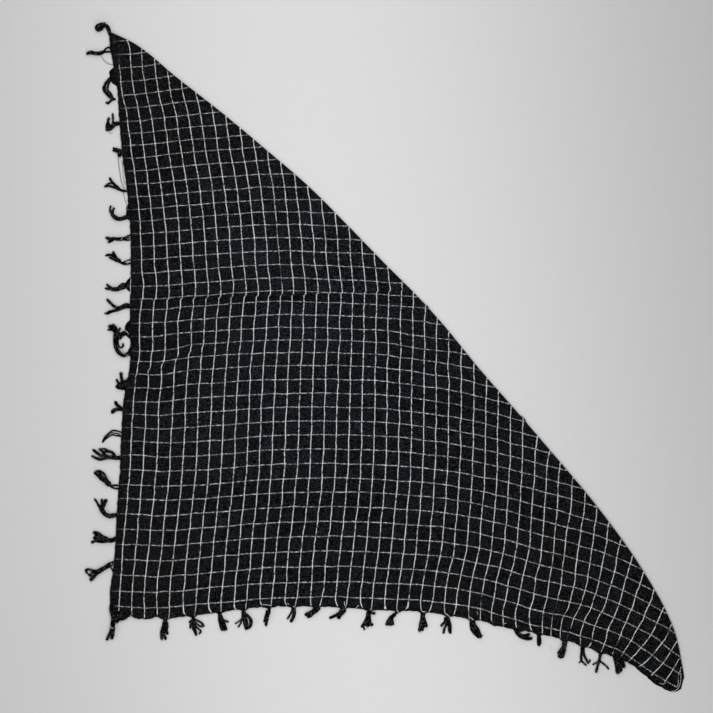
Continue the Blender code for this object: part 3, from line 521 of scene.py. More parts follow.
def smooth_path(points, step):
    """A smooth curve through plan points, evenly spaced."""
    points = np.asarray(points, float)
    along = run_lengths(points)
    fine = np.linspace(0, along[-1], max(8, int(along[-1] / (0.25 * step))))
    curve = np.stack([smooth_through(along, points[:, k], fine) for k in range(2)], axis=1)
    return resample(curve, step)


def selvedge_path():
    y = np.linspace(SELVEDGE[0][0], SELVEDGE[-1][0], 300)
    return np.stack([read(SELVEDGE, y), y], axis=1)


def hem_path():
    x = np.linspace(HEM[0][0], HEM[-1][0], 900)
    y = read(HEM, x)
    for root in ROOTS:
        y -= ROOT_DIP * bell(x - root, ROOT_REACH)
    for a, b in zip(ROOTS[:-1], ROOTS[1:]):
        across = (x - a) / (b - a)
        inside = (across > 0) & (across < 1) & (b - a < WIDEST_ARCH)
        y[inside] += HEM_ARCH * (1 - (2 * across[inside] - 1) ** 4)
    for middle, lift, half in SCALLOPS:
        y += lift * bell(x - middle, half)
    return np.stack([x, y], axis=1)


def weft_y(line, x):
    """How high on the table a weft line runs, at x."""
    count = len(SAG_LINES)
    sag = [read(WEFT_SAG, x, k + 1) for k in range(count)]
    place = np.interp(line, SAG_LINES, range(count))
    k = np.minimum(place.astype(int), count - 2)
    below, above = np.choose(k, sag[:-1]), np.choose(k, sag[1:])
    return read(WEFT, line) + below + (place - k) * (above - below)


def warp_x(line, y):
    """How far across the table a warp line runs, at y."""
    plain = read(FIRST, y) + line * read(PITCH, y) - WARP_CLOSING * line**2
    at = np.maximum(line, TIP_FROM)
    xf, yf, xm, ym, xh, yh = (read(TIP, at, k) for k in range(1, 7))
    upper, lower = (xf - xm) / (yf - ym), (xm - xh) / (ym - yh)
    bend = (upper - lower) / (yf - yh)
    kept = np.clip(y, yh, yf)
    tip = xm + (kept - ym) * (lower + bend * (kept - yh))
    tip += (y - kept) * np.where(y > yf, np.maximum(upper, TIP_LEAN), lower)
    tip = tip + (np.minimum(line, TIP_FROM) - TIP_FROM) * TIP_PITCH
    share = eased(rise(line, *TIP_SHARE))
    return (1 - share) * plain + share * tip


def solve(function, target, low, high, rising):
    """The value at which a steady function reaches its target, by halving."""
    low, high = np.full_like(target, low), np.full_like(target, high)
    for _ in range(HALVINGS):
        middle = 0.5 * (low + high)
        short = (function(middle) < target) == rising
        low, high = np.where(short, middle, low), np.where(short, high, middle)
    return 0.5 * (low + high)


def slip(at):
    """How far the threads have slipped at each point, across and up the table."""
    x, y = at[:, 0], at[:, 1]
    dx, dy = np.zeros_like(x), np.zeros_like(y)
    for cx, cy, wide, high, ax, ay in NUDGES:
        share = hill(at, (cx, cy), wide, high, 4)
        dx, dy = dx + ax * share, dy + ay * share
    for x1, x2, y1, y2, above, reach_above, below, reach_below in JOGS:
        d = y - (y1 + (y2 - y1) * (x - x1) / (x2 - x1))
        ends = unit(np.minimum(x - x1, x2 - x) / JOG_END + 0.5)
        t = eased(unit(d / JOG_TURN + 0.5))
        dx += ends * (
            t * above * np.exp(-np.maximum(d, 0) / reach_above)
            + (1 - t) * below * np.exp(-np.maximum(-d, 0) / reach_below)
        )
    return dx, dy


def threads(at):
    """The warp line and the weft line, as running numbers, that pass each plan point."""
    dx, dy = slip(at)
    x, y = at[:, 0] - dx, at[:, 1] - dy
    weft = solve(lambda line: weft_y(line, x), y, *WEFT_RANGE, False)
    warp = solve(lambda line: warp_x(line, y), x, *WARP_RANGE, True)
    return np.stack([warp, weft], axis=1)


# ---------------------------------------------------------------- plan geometry
def by_parts(function, at, *rest):
    """Runs a function of many points a few thousand points at a time."""
    return np.concatenate([function(at[k : k + PART], *rest) for k in range(0, len(at), PART)])


def distance_part(at, a, b):
    along = b - a
    offset = at[:, None, :] - a[None]
    u = unit((offset * along).sum(2) / np.maximum((along**2).sum(1), 1e-12))
    return np.linalg.norm(offset - u[..., None] * along, axis=2).min(1)


def distance_to(at, path, closed=True):
    a, b = (path, np.roll(path, -1, axis=0)) if closed else (path[:-1], path[1:])
    return by_parts(distance_part, at, a, b)


def inside_part(at, a, b):
    x, y = at[:, 0][:, None], at[:, 1][:, None]
    crosses = (a[:, 1] > y) != (b[:, 1] > y)
    run = np.where(a[:, 1] == b[:, 1], 1e-9, b[:, 1] - a[:, 1])
    return (crosses & (x < a[:, 0] + (y - a[:, 1]) / run * (b[:, 0] - a[:, 0]))).sum(1) % 2 == 1


def outward_of(points):
    tangent = np.roll(points, -1, axis=0) - np.roll(points, 1, axis=0)
    outward = np.stack([tangent[:, 1], -tangent[:, 0]], axis=1)
    return outward / np.linalg.norm(outward, axis=1)[:, None]


def lattice(outline, step, clear):
    """Points of a triangular grid inside an outline, at least clear from it."""
    low, high = outline.min(0), outline.max(0)
    points = []
    for k, y in enumerate(np.arange(low[1], high[1], step * math.sqrt(0.75))):
        x = np.arange(low[0] + 0.5 * step * (k % 2), high[0], step)
        points.append(np.stack([x, np.full_like(x, y)], axis=1))
    points = np.concatenate(points)
    points = points[by_parts(inside_part, points, outline, np.roll(outline, -1, axis=0))]
    return points[distance_to(points, outline) > clear]


def relief(at):
    """Height of the creases, ripples and swells above the flat doubled cloth."""
    height = np.zeros(len(at))
    for x1, y1, x2, y2, tall, half in CREASES:
        start, along = np.array([x1, y1], float), np.array([x2 - x1, y2 - y1], float)
        length = np.linalg.norm(along)
        u = ((at - start) @ along) / length**2
        across = ((at - start) @ np.array([-along[1], along[0]])) / length
        height += tall * bell(across, half) * unit(np.minimum(u, 1 - u) * 5 + 0.25)
    for x, y, tall, wide, high in SWELLS:
        height += tall * hill(at, (x, y), wide, high)
    return height


def ruffle(at, seed, size):
    """Soft irregular waves of about the given size, mostly between -1 and 1."""
    rng = np.random.default_rng(seed)
    total = np.zeros(len(at))
    for _ in range(WAVES):
        turn, phase, scale = rng.uniform(0, 2 * math.pi), rng.uniform(0, 2 * math.pi), rng.uniform(0.7, 1.5)
        wave = 2 * math.pi / (size * scale) * np.array([math.cos(turn), math.sin(turn)])
        total += np.sin(at @ wave + phase)
    return total / 5.0


def placed(name, data):
    """A new object in the scene."""
    made = bpy.data.objects.new(name, data)
    bpy.context.scene.collection.objects.link(made)
    return made


def mesh_of(name, places, faces):
    """A mesh of points given in table millimetres, in the frame."""
    mesh = bpy.data.meshes.new(name)
    mesh.from_pydata([tuple(p) for p in (places - (*CENTRE, 0.0)) * MM], [], faces)
    return mesh


# ---------------------------------------------------------------- the cloth
def triangulate(outline, inner):
    """Triangles over an outline and the points inside it, which keep their order."""
    points = np.concatenate([outline, inner])
    flat, _, faces, source, _, _ = delaunay_2d_cdt(
        [tuple(p) for p in points], [], [list(range(len(outline)))], 1, 1e-4
    )
    if len(flat) != len(points):
        raise ValueError("the outline crosses itself")
    order = [origin[0] for origin in source]
    return [[order[k] for k in face] for face in faces]


def fades(at, thread, from_hem, count_flat):
    """How strongly the warp lines and the weft lines show at each point, and how blue the black is."""
    keep = np.ones((len(at), 3))
    upper, lower = slice(0, len(from_hem)), slice(len(from_hem), count_flat)
    short = np.interp(at[upper, 0], HEM_SHORT_X, HEM_SHORT)
    keep[upper, 0] = unit((from_hem - short) / HEM_FADE)
    for x, y, wide, high, warp_left, weft_left in FADES:
        share = hill(at, plan((x, y)), wide * STEP, high * STEP, 4)
        keep[:, 0] *= 1 - (1 - warp_left) * share
        keep[:, 1] *= 1 - (1 - weft_left) * share
    keep[upper, 1] *= 1 - EDGE_LOSS * rise(thread[upper, 0], 0, -EDGE_LOSS_REACH)
    keep[upper, 1] *= 1 - LAST_LOSS * unit((thread[upper, 1] - LAST_WEFT) / LAST_WEFT_REACH)
    edge = np.interp(at[:, 1], column(SELVEDGE, 0)[::-1], column(SELVEDGE, 1)[::-1])
    out = unit((edge + OUT_REACH - at[:, 0]) / OUT_REACH)
    keep[:, 1] *= 1 - OUT_LOSS * out
    keep[len(from_hem) :, 0] *= 1 - out[len(from_hem) :]
    keep[lower][at[lower, 0] > LOWER_PLAIN_X] *= (0.0, 0.0, 1.0)
    keep[:, 2] = hill(at, BLUE_MIDDLE, *BLUE_SIZE)
    return keep


def crease_shade_and_tones(at):
    """How pale the black is at each point, as a share of its usual tone, with painted shade and light along
    the creases.
    """
    crease_shade_and_tone = np.ones(len(at))
    for x, y, wide, high, times in CREASE_SHADE_AND_TONES:
        crease_shade_and_tone *= 1 + (times - 1) * hill(at, plan((x, y)), wide * STEP, high * STEP)
    return crease_shade_and_tone


def juts(points, table, out):
    """Adds the small juts and gaps of a table to how far out each point of an outline is moved."""
    for x, y, far, half in table:
        cx, cy = plan((x, y))
        out = out + far * np.exp(-(((points[:, 0] - cx) ** 2 + (points[:, 1] - cy) ** 2) / half**2))
    return out


def cloth_rims(hem_fine):
    """The outlines of both layers, the hem, where the fold starts, and the way and the reach outward."""
    left = resample(selvedge_path(), SELVEDGE_STEP)
    hem = resample(hem_fine, HEM_GRID)
    points = np.concatenate([left[:-1], hem, smooth_path(FOLD, EDGE_STEP)])
    hem_first, fold_first = len(left) - 1, len(left) - 1 + len(hem)
    outward = outward_of(points)
    folded = np.zeros(len(points))
    folded[fold_first:] = 1.0
    stray = juts(points, NICKS, EDGE_UNEVEN * ruffle(points, *EDGE_RUFFLE))
    bumps = juts(points, FOLD_NICKS, np.zeros(len(points)))
    points += outward * (stray * (1 - folded) + bumps * folded)[:, None]

    reach = np.zeros(len(points))
    for y, half, amount in LUMPS:
        u = np.clip((points[:hem_first, 1] - y) / half, -1, 1)
        reach[:hem_first] += amount * (1 - np.abs(u) ** 3)
    x, y = points[hem_first:, 0], points[hem_first:, 1]
    reach[hem_first:] = TIP_PEEK * rise(x, *TIP_PEEK_X) * rise(y, *TIP_PEEK_Y) * (1 - folded[hem_first:])
    reach += TIP_SLIP * (rise(points[:, 1], *TIP_SLIP_Y) * folded * (points[:, 0] > 0))

    upper_rim = points - outward * ((FOLD_RADIUS + CLOTH / 2) * folded)[:, None]
    return upper_rim, upper_rim + outward * reach[:, None], hem, fold_first, outward, reach


def upper_points(rim, hem):
    """Points inside the upper layer, closer together along the hem and along the sharp creases."""

    def nearness(at):
        near = distance_to(at, hem, False) / HEM_BAND
        for x1, x2, y1, y2, *_ in JOGS:
            crease = np.array([[x1, y1], [x2, y2]], float)
            near = np.minimum(near, distance_to(at, crease, False) / CREASE_BAND)
        return near

    coarse = lattice(rim, GRID, 0.45 * GRID)
    fine = lattice(rim, HEM_GRID, 0.5 * HEM_GRID)
    return np.concatenate([coarse[nearness(coarse) > 1.0], fine[nearness(fine) <= FINE_SHARE]])


def upper_heights(at, from_edge, from_fold, from_hem, roots):
    near_root = np.linalg.norm(at[:, None] - roots[None], axis=2).min(1)
    z = UPPER_Z + relief(at) * rise(from_edge, 0, RELIEF_FROM_EDGE)
    z += FOLD_ROLL * bell(from_fold, FOLD_ROLL_REACH)
    z += SCALLOP_LIFT * rise(near_root, *SCALLOP_ROOT) * bell(from_hem, SCALLOP_REACH)
    waves = sum(tall * ruffle(at, seed, size) for tall, seed, size in RIPPLES)
    z += rise(from_edge, 0, RIPPLE_FROM_EDGE) * waves
    return np.maximum(z, UPPER_Z - DEEPEST_DIP)


def gathered(thread, root_thread, from_hem):
    """Thread numbers of the upper layer, with the warp drawn to the tassels' roots at the hem."""
    k = np.clip(np.searchsorted(root_thread, thread[:, 0]) - 1, 0, len(root_thread) - 2)
    a, b = root_thread[k], root_thread[k + 1]
    s = (thread[:, 0] - a) / (b - a)
    pull = GATHER * np.exp(-from_hem / GATHER_REACH) * ((s > 0) & (s < 1)) * unit(WIDEST_GATHER - (b - a))
    thread[:, 0] = a + (b - a) * (s + pull * np.sin(2 * math.pi * s) / (2 * math.pi))
    return thread


def lower_threads(at, fold_thread, turn):
    """Thread numbers of the lower layer, which carry on from those along the fold."""
    thread = threads(at)
    order = np.argsort(fold_thread[:, 1])
    fold_warp = np.interp(thread[:, 1], fold_thread[order, 1], fold_thread[order, 0])
    from_turn = fold_warp - thread[:, 0]
    thread = np.stack([fold_warp, thread[:, 1] - from_turn * WARP_GAP / WEFT_GAP], axis=1)
    thread[turn] = fold_thread
    return thread


def build_cloth():
    hem_fine = hem_path()
    upper_rim, lower_rim, hem, fold_first, outward, reach = cloth_rims(hem_fine)
    upper_inner = upper_points(upper_rim, hem)
    lower_inner = lattice(lower_rim, LOWER_GRID, 0.4 * LOWER_GRID)
    upper_plan = np.concatenate([upper_rim, upper_inner])
    lower_plan = np.concatenate([lower_rim, lower_inner])
    from_edge = distance_to(upper_plan, upper_rim)
    from_fold = distance_to(upper_plan, upper_rim[fold_first:], False)
    from_hem = distance_to(upper_plan, hem, False)
    root_y = smooth_through(hem_fine[:, 0], hem_fine[:, 1], np.array(ROOTS, float))
    roots = np.stack([ROOTS, root_y], axis=1)
    upper_z = upper_heights(upper_plan, from_edge, from_fold, from_hem, roots)

    # The turn of the fold, from the upper layer round to the lower one.
    turn = np.arange(fold_first, len(upper_rim))
    arc = []
    for angle in np.linspace(math.pi / 2, -math.pi / 2, TURN_STEPS)[1:-1]:
        share = 0.5 * (1 + math.sin(angle))
        out = FOLD_RADIUS * math.cos(angle) + reach[turn] * (1 - share)
        z = LOWER_Z + (upper_z[turn] - LOWER_Z) * share
        arc.append(np.column_stack([upper_rim[turn] + outward[turn] * out[:, None], z]))

    upper_thread = gathered(threads(upper_plan), np.sort(threads(roots)[:, 0]), from_hem)
    fold_thread = upper_thread[turn]
    lower_thread = lower_threads(lower_plan, fold_thread, turn)
    thread = np.concatenate([upper_thread, lower_thread, *([fold_thread] * len(arc))])

    count_upper, count_flat = len(upper_plan), len(upper_plan) + len(lower_plan)
    lower = np.column_stack([lower_plan, np.full(len(lower_plan), LOWER_Z)])
    places = np.concatenate([np.column_stack([upper_plan, upper_z]), lower, *arc])
    faces = triangulate(upper_rim, upper_inner)
    faces += [[count_upper + k for k in reversed(face)] for face in triangulate(lower_rim, lower_inner)]
    rings = [np.arange(len(turn)) + count_flat + k * len(turn) for k in range(len(arc))]
    rings = [turn, *rings, turn + count_upper]
    for near, far in zip(rings[:-1], rings[1:]):
        faces += np.stack([near[1:], near[:-1], far[:-1], far[1:]], axis=1).tolist()

    mesh = mesh_of("cloth", places, faces)
    layer = mesh.uv_layers.new(name="threads")
    fade = mesh.attributes.new("fade", "FLOAT_VECTOR", "POINT")
    shown = fades(places[:, :2], thread, from_hem, count_flat)
    fade.data.foreach_set("vector", shown.astype(np.float32).ravel())
    # painted crease shade and tone, carried to the shader as a point attribute
    crease_shade_and_tone = mesh.attributes.new("crease_shade_and_tone", "FLOAT", "POINT")
    crease_shade_and_tone.data.foreach_set("value", crease_shade_and_tones(places[:, :2]).astype(np.float32))
    corner = np.empty(len(mesh.loops), np.int32)
    mesh.loops.foreach_get("vertex_index", corner)
    layer.data.foreach_set("uv", thread[corner].astype(np.float32).ravel())
    mesh.shade_smooth()
    mesh.update()
    cloth = placed("cloth", mesh)
    shell = cloth.modifiers.new("thickness", "SOLIDIFY")
    shell.thickness = CLOTH * MM
    shell.offset = 0.0
    return cloth


# ---------------------------------------------------------------- yarn
def beside(path):
    """The directions to the side of a path and over it, at each of its points."""
    tangent = np.gradient(path, axis=0)
    tangent /= np.maximum(np.linalg.norm(tangent, axis=1), 1e-9)[:, None]
    side = np.cross(tangent, (0.0, 0.0, 1.0))
    side[np.linalg.norm(side, axis=1) < STEEP] = (1.0, 0.0, 0.0)
    side /= np.linalg.norm(side, axis=1)[:, None]
    return side, np.cross(side, tangent)


class Skein:
    """Collects tubes of yarn and turns them into one mesh."""

    def __init__(self, seed):
        self.points, self.faces, self.count = [], [], 0
        self.rng = np.random.default_rng(seed)

    def tube(self, path, radius, sides=6):
        """A closed tube along a path of space points, with a radius for each point."""
        side, over = beside(path)
        angle = np.linspace(0, 2 * math.pi, sides, endpoint=False)
        ring = np.cos(angle)[None, :, None] * side[:, None] + np.sin(angle)[None, :, None] * over[:, None]
        places = path[:, None] + ring * np.asarray(radius, float)[:, None, None]
        start, last = self.count, self.count + (len(path) - 1) * sides
        self.points.append(places.reshape(-1, 3))
        self.count += len(path) * sides
        for a in range(start, last, sides):
            for j in range(sides):
                n = (j + 1) % sides
                self.faces.append((a + j, a + n, a + sides + n, a + sides + j))
        self.faces.append(tuple(range(start, start + sides))[::-1])
        self.faces.append(tuple(range(last, last + sides)))

    def twist(self, path, width, plies, pitch, ends):
        """Plies wound round each other along a path. width is across the whole yarn."""
        phase = self.rng.uniform(0, 6)
        along = run_lengths(path)
        side, over = beside(path)
        u = along / max(along[-1], 1e-9)
        swell = np.minimum(1, np.minimum(ends[0] + 3 * u, ends[1] + 2.2 * (1 - u)))
        waves = 0.13 * np.sin(along / width * 1.7 + phase) * np.sin(along / width * 0.8 + 2 * phase)
        swell = swell * (1 + waves)
        ply = (0.30 if plies == 2 else 0.27) * width
        for k in range(plies):
            angle = phase + 2 * math.pi * (k / plies + along / pitch)
            wander = 1 + 0.10 * np.sin(along / pitch * 2.3 + self.rng.uniform(0, 6))
            off = (0.5 * width - ply) * swell * wander
            centre = path + (np.cos(angle) * off)[:, None] * side + (np.sin(angle) * off)[:, None] * over
            centre[:, 2] = np.maximum(YARN_SQUASH * centre[:, 2], ply * swell + 0.1)
            self.tube(centre, ply * swell * (1 + 0.06 * np.sin(along * 1.9 + self.rng.uniform(0, 6))))

    def fray(self, at, heading, z, count, spread, reach):
        """Thin fibres that stand out round a place."""
        rng = self.rng
        for _ in range(count):
            angle = math.atan2(heading[1], heading[0]) + rng.normal(0, spread)
            length = reach * rng.uniform(0.5, 1.3)
            bend = rng.normal(0, 0.6)
            a = at + rng.normal(0, 0.35, 2)
            b = a + 0.5 * length * np.array([math.cos(angle), math.sin(angle)])
            c = b + 0.5 * length * np.array([math.cos(angle + bend), math.sin(angle + bend)])
            heights = np.array([z, 0.6 * z + 0.3, rng.uniform(0.25, 1.4)])
            self.tube(np.column_stack([np.stack([a, b, c]), heights]), FIBRE_RADII, 3)

    def piece(self, name):
        """The object that all the tubes make."""
        mesh = mesh_of(name, np.concatenate(self.points), self.faces)
        mesh.shade_smooth()
        mesh.update()
        return placed(name, mesh)


def build_fringe(name, tassels, root_z, seed):
    """Every cord is plies wound round each other, tapered into the cloth, and frayed at its end."""
    skein = Skein(seed)
    for cords in tassels:
        for k, (wide, *points) in enumerate(cords):
            width = wide * STEP * CORD_FULLNESS
            path = smooth_path([plan(p) for p in points], CORD_STEP)
            along = run_lengths(path)
            piled = CORD_PILE * min(k, 3)
            rest = 0.5 * width + 0.15 + piled
            z = rest - (rest - root_z) * unit(1 - along / ROOT_TAPER) * (k == 0)
            z -= piled * unit(1.5 * (along / along[-1]) - 0.5)
            plies = 3 if width > THREE_PLY_WIDTH else 2
            skein.twist(np.column_stack([path, z]), width, plies, 1.7 * width + 1.0, CORD_ENDS)
            heading = path[-1] - path[-3]
            heading /= np.linalg.norm(heading)
            skein.fray(path[-1] - heading * 0.8, heading, z[-1], 8, 0.5, 0.8 + 0.35 * width)
            for at in np.arange(1.5, along[-1], FRAY_GAP):
                j = min(int(np.searchsorted(along, at)), len(path) - 2)
                run = path[j + 1] - path[j]
                run /= np.linalg.norm(run)
                side = np.array([-run[1], run[0]]) * skein.rng.choice((-1, 1))
                skein.fray(path[j] + side * 0.36 * width, 0.7 * side + 0.7 * run, z[j], 1, 0.6, 1.3)
    return skein.piece(name)


def build_fuzz(name, seed):
    """Short black fibres along the selvedge and the hem."""
    skein = Skein(seed)
    for path, spacing in ((resample(selvedge_path(), 1.0), 3), (resample(hem_path(), 1.0), 2)):
        tangent = np.gradient(path, axis=0)
        outward = np.stack([tangent[:, 1], -tangent[:, 0]], axis=1)
        for k in range(2, len(path) - 2, spacing):
            if skein.rng.random() < FIBRE_SHARE:
                way = outward[k] / np.linalg.norm(outward[k]) + 0.6 * skein.rng.normal(0, 1) * tangent[k]
                skein.fray(path[k] - 0.4 * outward[k], way, FIBRE_Z, 1, 0.3, FIBRE_LENGTH)
    return skein.piece(name)


def build_threads(name, table, z, seed, under=()):
    """Single yarns: a plain two-ply thread along each path, lying at a height or on the pieces under it."""
    skein = Skein(seed)
    tops = [np.zeros((0, 3))]
    for piece in under:
        places = np.array([vertex.co for vertex in piece.data.vertices]) / MM
        tops.append(places + (*CENTRE, 0.0))
    tops = np.concatenate(tops)
    for wide, *points in table:
        path = smooth_path([plan(p) for p in points], THREAD_STEP)
        heights = np.full(len(path), z + 0.5 * wide * STEP)
        if points[0][0] > TIP_HIGHLIGHT_X:
            heights += FOLD_ROLL
        if len(tops):
            near = np.linalg.norm(path[:, None] - tops[None, :, :2], axis=2) < THREAD_REACH
            top = np.where(near, tops[None, :, 2], 0.0).max(1)
            heights = np.maximum(heights, (top + THREAD_LIFT) / YARN_SQUASH)
        skein.twist(np.column_stack([path, heights]), wide * STEP, 2, THREAD_PITCH, THREAD_ENDS)
    return skein.piece(name)


# ---------------------------------------------------------------- materials
class Nodes:
    """Short ways to write a node tree."""

    def __init__(self, name):
        self.material = bpy.data.materials.new(name)
        self.material.use_nodes = True
        self.tree = self.material.node_tree
        self.shader = self.tree.nodes["Principled BSDF"]
        self.place = self.node("ShaderNodeTexCoord").outputs["Object"]

    def node(self, kind, feeds=(), **settings):
        """A node with its settings made and its inputs fed."""
        made = self.tree.nodes.new(kind)
        for key, value in settings.items():
            setattr(made, key, value)
        for key, value in dict(feeds).items():
            self.feed(made.inputs[key], value)
        return made

    def feed(self, socket, value):
        if isinstance(value, bpy.types.NodeSocket):
            self.tree.links.new(value, socket)
        else:
            socket.default_value = value

    def math(self, operation, *values, clamp=False):
        return self.node("ShaderNodeMath", enumerate(values), operation=operation, use_clamp=clamp).outputs[0]

    def plus(self, a, b, clamp=False):
        return self.math("ADD", a, b, clamp=clamp)

    def minus(self, a, b, clamp=False):
        return self.math("SUBTRACT", a, b, clamp=clamp)

    def times(self, first, *others, clamp=False):
        """A product, held between 0 and 1 at its last step if asked."""
        for k, other in enumerate(others, 1):
            first = self.math("MULTIPLY", first, other, clamp=clamp and k == len(others))
        return first

    def from_middle(self, value):
        """How far a running number is from the middle between two whole numbers."""
        return self.math("ABSOLUTE", self.minus(self.math("FRACT", value), 0.5))

    def joined(self, x, y, z=0.0):
        return self.node("ShaderNodeCombineXYZ", enumerate((x, y, z))).outputs[0]

    def split(self, vector):
        return self.node("ShaderNodeSeparateXYZ", {0: vector}).outputs

    def noise(self, vector, scale, detail=2.0, roughness=0.5, output="Fac"):
        feeds = {"Vector": vector, "Scale": scale, "Detail": detail, "Roughness": roughness}
        return self.node("ShaderNodeTexNoise", feeds).outputs[output]

    def white(self, vector):
        made = self.node("ShaderNodeTexWhiteNoise", {"Vector": vector}, noise_dimensions="3D")
        return made.outputs["Value"]

    def ramp(self, value, low, high, to_low=0.0, to_high=1.0, kind="SMOOTHSTEP"):
        feeds = {"Value": value, "From Min": low, "From Max": high, "To Min": to_low, "To Max": to_high}
        return self.node("ShaderNodeMapRange", feeds, interpolation_type=kind).outputs["Result"]

    def line(self, value, low, high, to_low, to_high):
        """A ramp with a straight course."""
        return self.ramp(value, low, high, to_low, to_high, "LINEAR")

    def between(self, share, low, high):
        return self.line(share, 0.0, 1.0, low, high)

    def mix(self, share, a, b):
        return self.node("ShaderNodeMix", {0: share, 6: a, 7: b}, data_type="RGBA").outputs[2]

    def scaled(self, vector, factor):
        feeds = {0: vector, "Scale": factor}
        return self.node("ShaderNodeVectorMath", feeds, operation="SCALE").outputs[0]

    def attribute(self, name, output):
        return self.node("ShaderNodeAttribute", attribute_name=name).outputs[output]

    def bump(self, height, distance, strength):
        feeds = {"Strength": strength, "Distance": distance, "Height": height}
        self.feed(self.shader.inputs["Normal"], self.node("ShaderNodeBump", feeds).outputs[0])

    def finished(self, colour, roughness, specular):
        """The material, with its colour and its sheen."""
        values = {"Base Color": colour, "Roughness": roughness, "Specular IOR Level": specular}
        for key, value in values.items():
            self.feed(self.shader.inputs[key], value)
        return self.material


def cotton():
    """Loose plain weave of black yarn, with two white yarns together in each direction round every check."""
    n = Nodes("black_cotton_weave")
    place = n.place
    uv = n.split(n.node("ShaderNodeUVMap", uv_map="threads").outputs[0])
    warp_keep, weft_keep, blue = n.split(n.attribute("fade", "Vector"))

    # The threads wander a little: each direction drifts slowly and quickly.
    drifts = []
    for scale, amount in DRIFTS:
        wobble = n.noise(place, scale, 1.0, output="Color")
        drifts.append((n.node("ShaderNodeSeparateColor", {0: wobble}).outputs, amount))

    def drifted(axis):
        number = uv[axis]
        for channels, amount in drifts:
            number = n.plus(number, n.line(channels[axis], 0.25, 0.75, -amount, amount))
        return number

    def nearest(number):
        return n.math("FLOOR", n.plus(number, 0.5))

    warp, weft = drifted(0), drifted(1)
    warp_thread, weft_thread = n.times(warp, THREADS), n.times(weft, THREADS)
    warp_number, weft_number = n.math("FLOOR", warp_thread), n.math("FLOOR", weft_thread)
    over = n.math("FLOORED_MODULO", n.plus(warp_number, weft_number), 2.0)
    under = n.minus(1.0, over)

    def either(of_warp, of_weft):
        return n.plus(n.times(of_warp, over), n.times(of_weft, under))

    def is_line(number):
        return n.line(n.from_middle(n.plus(number, 0.5)), 0.78 / THREADS, 0.98 / THREADS, 1.0, 0.0)

    # Along a white line its brightness changes from check to check and within a check.
    mottle = n.noise(place, 300.0, 2.0, 0.7)
    warp_long = n.noise(n.joined(nearest(warp), n.times(weft, 1.1)), 3.1, 1.0)
    weft_long = n.noise(n.joined(n.times(warp, 1.1), nearest(weft), 9.0), 3.1, 1.0)
    warp_light = n.times(n.ramp(warp_long, 0.3, 0.7, 0.3, 2.15), n.ramp(mottle, 0.38, 0.62, 0.4, 1.6))
    weft_light = n.times(n.ramp(weft_long, 0.3, 0.7, 0.15, 0.64), n.ramp(mottle, 0.36, 0.64, 0.3, 1.7))
    warp_line = n.times(is_line(warp), warp_keep, warp_light, clamp=True)
    weft_line = n.times(is_line(weft), weft_keep, weft_light, clamp=True)
    # A slack white yarn bulges over its black neighbours, so it also shows a little where it dips under.
    warp_shown = n.times(warp_line, n.between(over, 0.6, 1.0))
    weft_shown = n.times(weft_line, n.between(under, 0.5, 1.0))
    white = n.minus(n.plus(warp_shown, weft_shown), n.times(warp_shown, weft_shown), clamp=True)

    # Each thread is rounder in its middle: this shapes the bump, and the colour also takes it as painted
    # shade on the threads' sides and in the gaps between them.
    roundness_and_shade = either(
        n.ramp(n.from_middle(warp_thread), 0.5, 0.2), n.ramp(n.from_middle(weft_thread), 0.5, 0.2)
    )
    slub = either(n.white(n.joined(warp_number, 3.0)), n.white(n.joined(7.0, weft_number)))
    grain = n.noise(place, 420.0, 1.0)
    speck = n.noise(place, 700.0, 0.0)
    streak = n.noise(n.joined(n.times(warp, 9.0), n.times(weft, 1.5)), 2.0, 2.0)
    patch = n.white(n.joined(n.math("FLOOR", warp), n.math("FLOOR", weft), 5.0))
    # The black: random tone of its threads and grain, times painted shade on the threads' round sides and the
    # painted crease shade and tone of the mesh.
    shade = n.times(
        n.between(slub, 0.7, 1.35),
        n.line(grain, 0.4, 0.6, 0.12, 1.88),
        n.line(streak, 0.3, 0.7, 0.75, 1.3),
        n.between(roundness_and_shade, 0.5, 1.0),
        n.between(patch, 0.9, 1.1),
        n.line(speck, 0.38, 0.62, 0.1, 1.9),
        n.attribute("crease_shade_and_tone", "Fac"),
    )
    bluer = n.plus(n.times(blue, 0.75), n.times(n.minus(patch, 0.5), 0.35))
    bluer = n.plus(bluer, n.line(n.noise(place, 9.0, 2.0), 0.3, 0.7, -0.25, 0.25), clamp=True)
    black = n.scaled(n.mix(bluer, NEUTRAL, BLUE), shade)
    # Painted shade: the white yarn is darker at the sides of its threads.
    light = n.scaled(WHITE, n.between(roundness_and_shade, 0.65, 1.0))
    n.bump(n.times(roundness_and_shade, n.between(slub, 0.7, 1.0)), 0.00025, 0.8)
    return n.finished(n.mix(white, black, light), 0.94, 0.012)


def black_yarn():
    """Nearly black, with paler tufts of fibre here and there, which also paint highlights on the twisted
    strands.
    """
    n = Nodes("black_yarn_twisted")
    fibre = n.noise(n.place, 1500.0, 3.0, 0.6)
    tuft_and_highlight = n.noise(n.place, 360.0, 1.0)
    # the paler tufts are partly painted highlight on the strands
    share = n.times(n.ramp(tuft_and_highlight, 0.51, 0.7), n.line(fibre, 0.35, 0.6, 0.5, 1.5))
    n.bump(fibre, 0.0003, 0.7)
    return n.finished(n.mix(share, *BLACK_YARN), 0.9, 0.015)


def plain_yarn(name, colours):
    n = Nodes(name)
    fibre = n.noise(n.place, 900.0, 3.0, 0.6)
    n.bump(fibre, 0.0003, 0.6)
    return n.finished(n.mix(n.ramp(fibre, 0.3, 0.7), *colours), 0.85, 0.2)


def paper():
    n = Nodes("floor_paper")
    return n.finished(n.mix(n.noise(n.place, 40.0, 3.0), *PAPER), 0.9, 0.2)


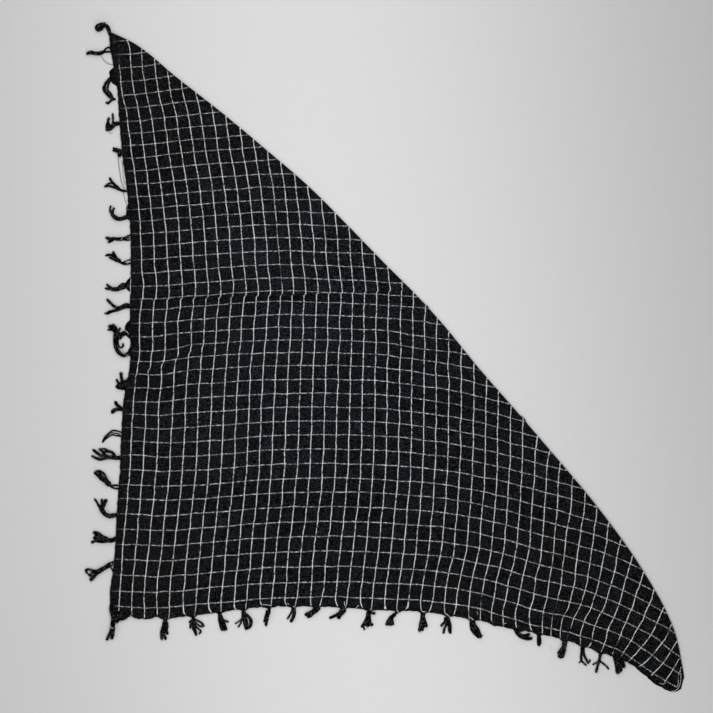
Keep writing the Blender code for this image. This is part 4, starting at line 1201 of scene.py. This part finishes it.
# ---------------------------------------------------------------- the scene
def stage():
    """The floor, the light and the camera."""
    mesh = bpy.data.meshes.new("floor")
    corners = [(x * FLOOR_HALF, y * FLOOR_HALF, FLOOR_Z) for x, y in ((-1, -1), (1, -1), (1, 1), (-1, 1))]
    mesh.from_pydata(corners, [], [(0, 1, 2, 3)])
    mesh.materials.append(paper())
    floor = placed("floor", mesh)
    world = bpy.data.worlds.new("studio")
    world.use_nodes = True
    world.node_tree.nodes["Background"].inputs[0].default_value = (1.0, 1.0, 1.0, 1.0)
    world.node_tree.nodes["Background"].inputs[1].default_value = STUDIO_LIGHT
    bpy.context.scene.world = world
    for name, place, turn, size, power in LIGHTS:
        data = bpy.data.lights.new(name, "AREA")
        data.shape, data.size, data.size_y, data.energy = "RECTANGLE", size[0], size[1], power
        light = placed(name, data)
        light.location = place
        light.rotation_euler = (0.0, 0.0, math.radians(turn))
        light.visible_camera = False
    camera = placed("camera", bpy.data.cameras.new("camera"))
    camera.data.sensor_width = CAMERA_SENSOR
    camera.data.lens = CAMERA_LENS
    camera.data.clip_end = CAMERA_FAR
    camera.location = CAMERA_PLACE
    bpy.context.scene.camera = camera
    bpy.context.scene.view_settings.view_transform = "Standard"


stage()
cloth = build_cloth()
cloth.data.materials.append(cotton())
hem_fringe = build_fringe("hem_fringe", HEM_TASSELS, 1.8, 11)
side_fringe = build_fringe("side_fringe", SIDE_TASSELS, 1.0, 12)
fuzz = build_fuzz("edge_fibres", 15)
# loose threads, whose grey also paints their shadow on the floor
loose = build_threads("loose_threads_and_shadow", LOOSE_AND_SHADOW, 0.05, 13)
# white yarn ends, and the painted highlight along the tip's rolled edge
flecks_and_rim_highlight = build_threads("white_yarn_ends_and_rim_highlight", FLECKS_AND_RIM_HIGHLIGHT, 2.6, 14, (cloth, hem_fringe, side_fringe))
yarn = black_yarn()
for piece in (hem_fringe, side_fringe, fuzz):
    piece.data.materials.append(yarn)
loose.data.materials.append(plain_yarn("pale_yarn_and_shadow", PALE_YARN_AND_SHADOW))
flecks_and_rim_highlight.data.materials.append(plain_yarn("white_yarn", WHITE_YARN))
nodes = sorted(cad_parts)
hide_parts("scarf_cloth")
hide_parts(*[n for n in nodes if n.startswith("tassel_hem")])
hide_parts(*[n for n in nodes if n.startswith("tassel_side")])
for piece in (cloth, flecks_and_rim_highlight, hem_fringe, side_fringe, fuzz, loose):
    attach(piece, "root")
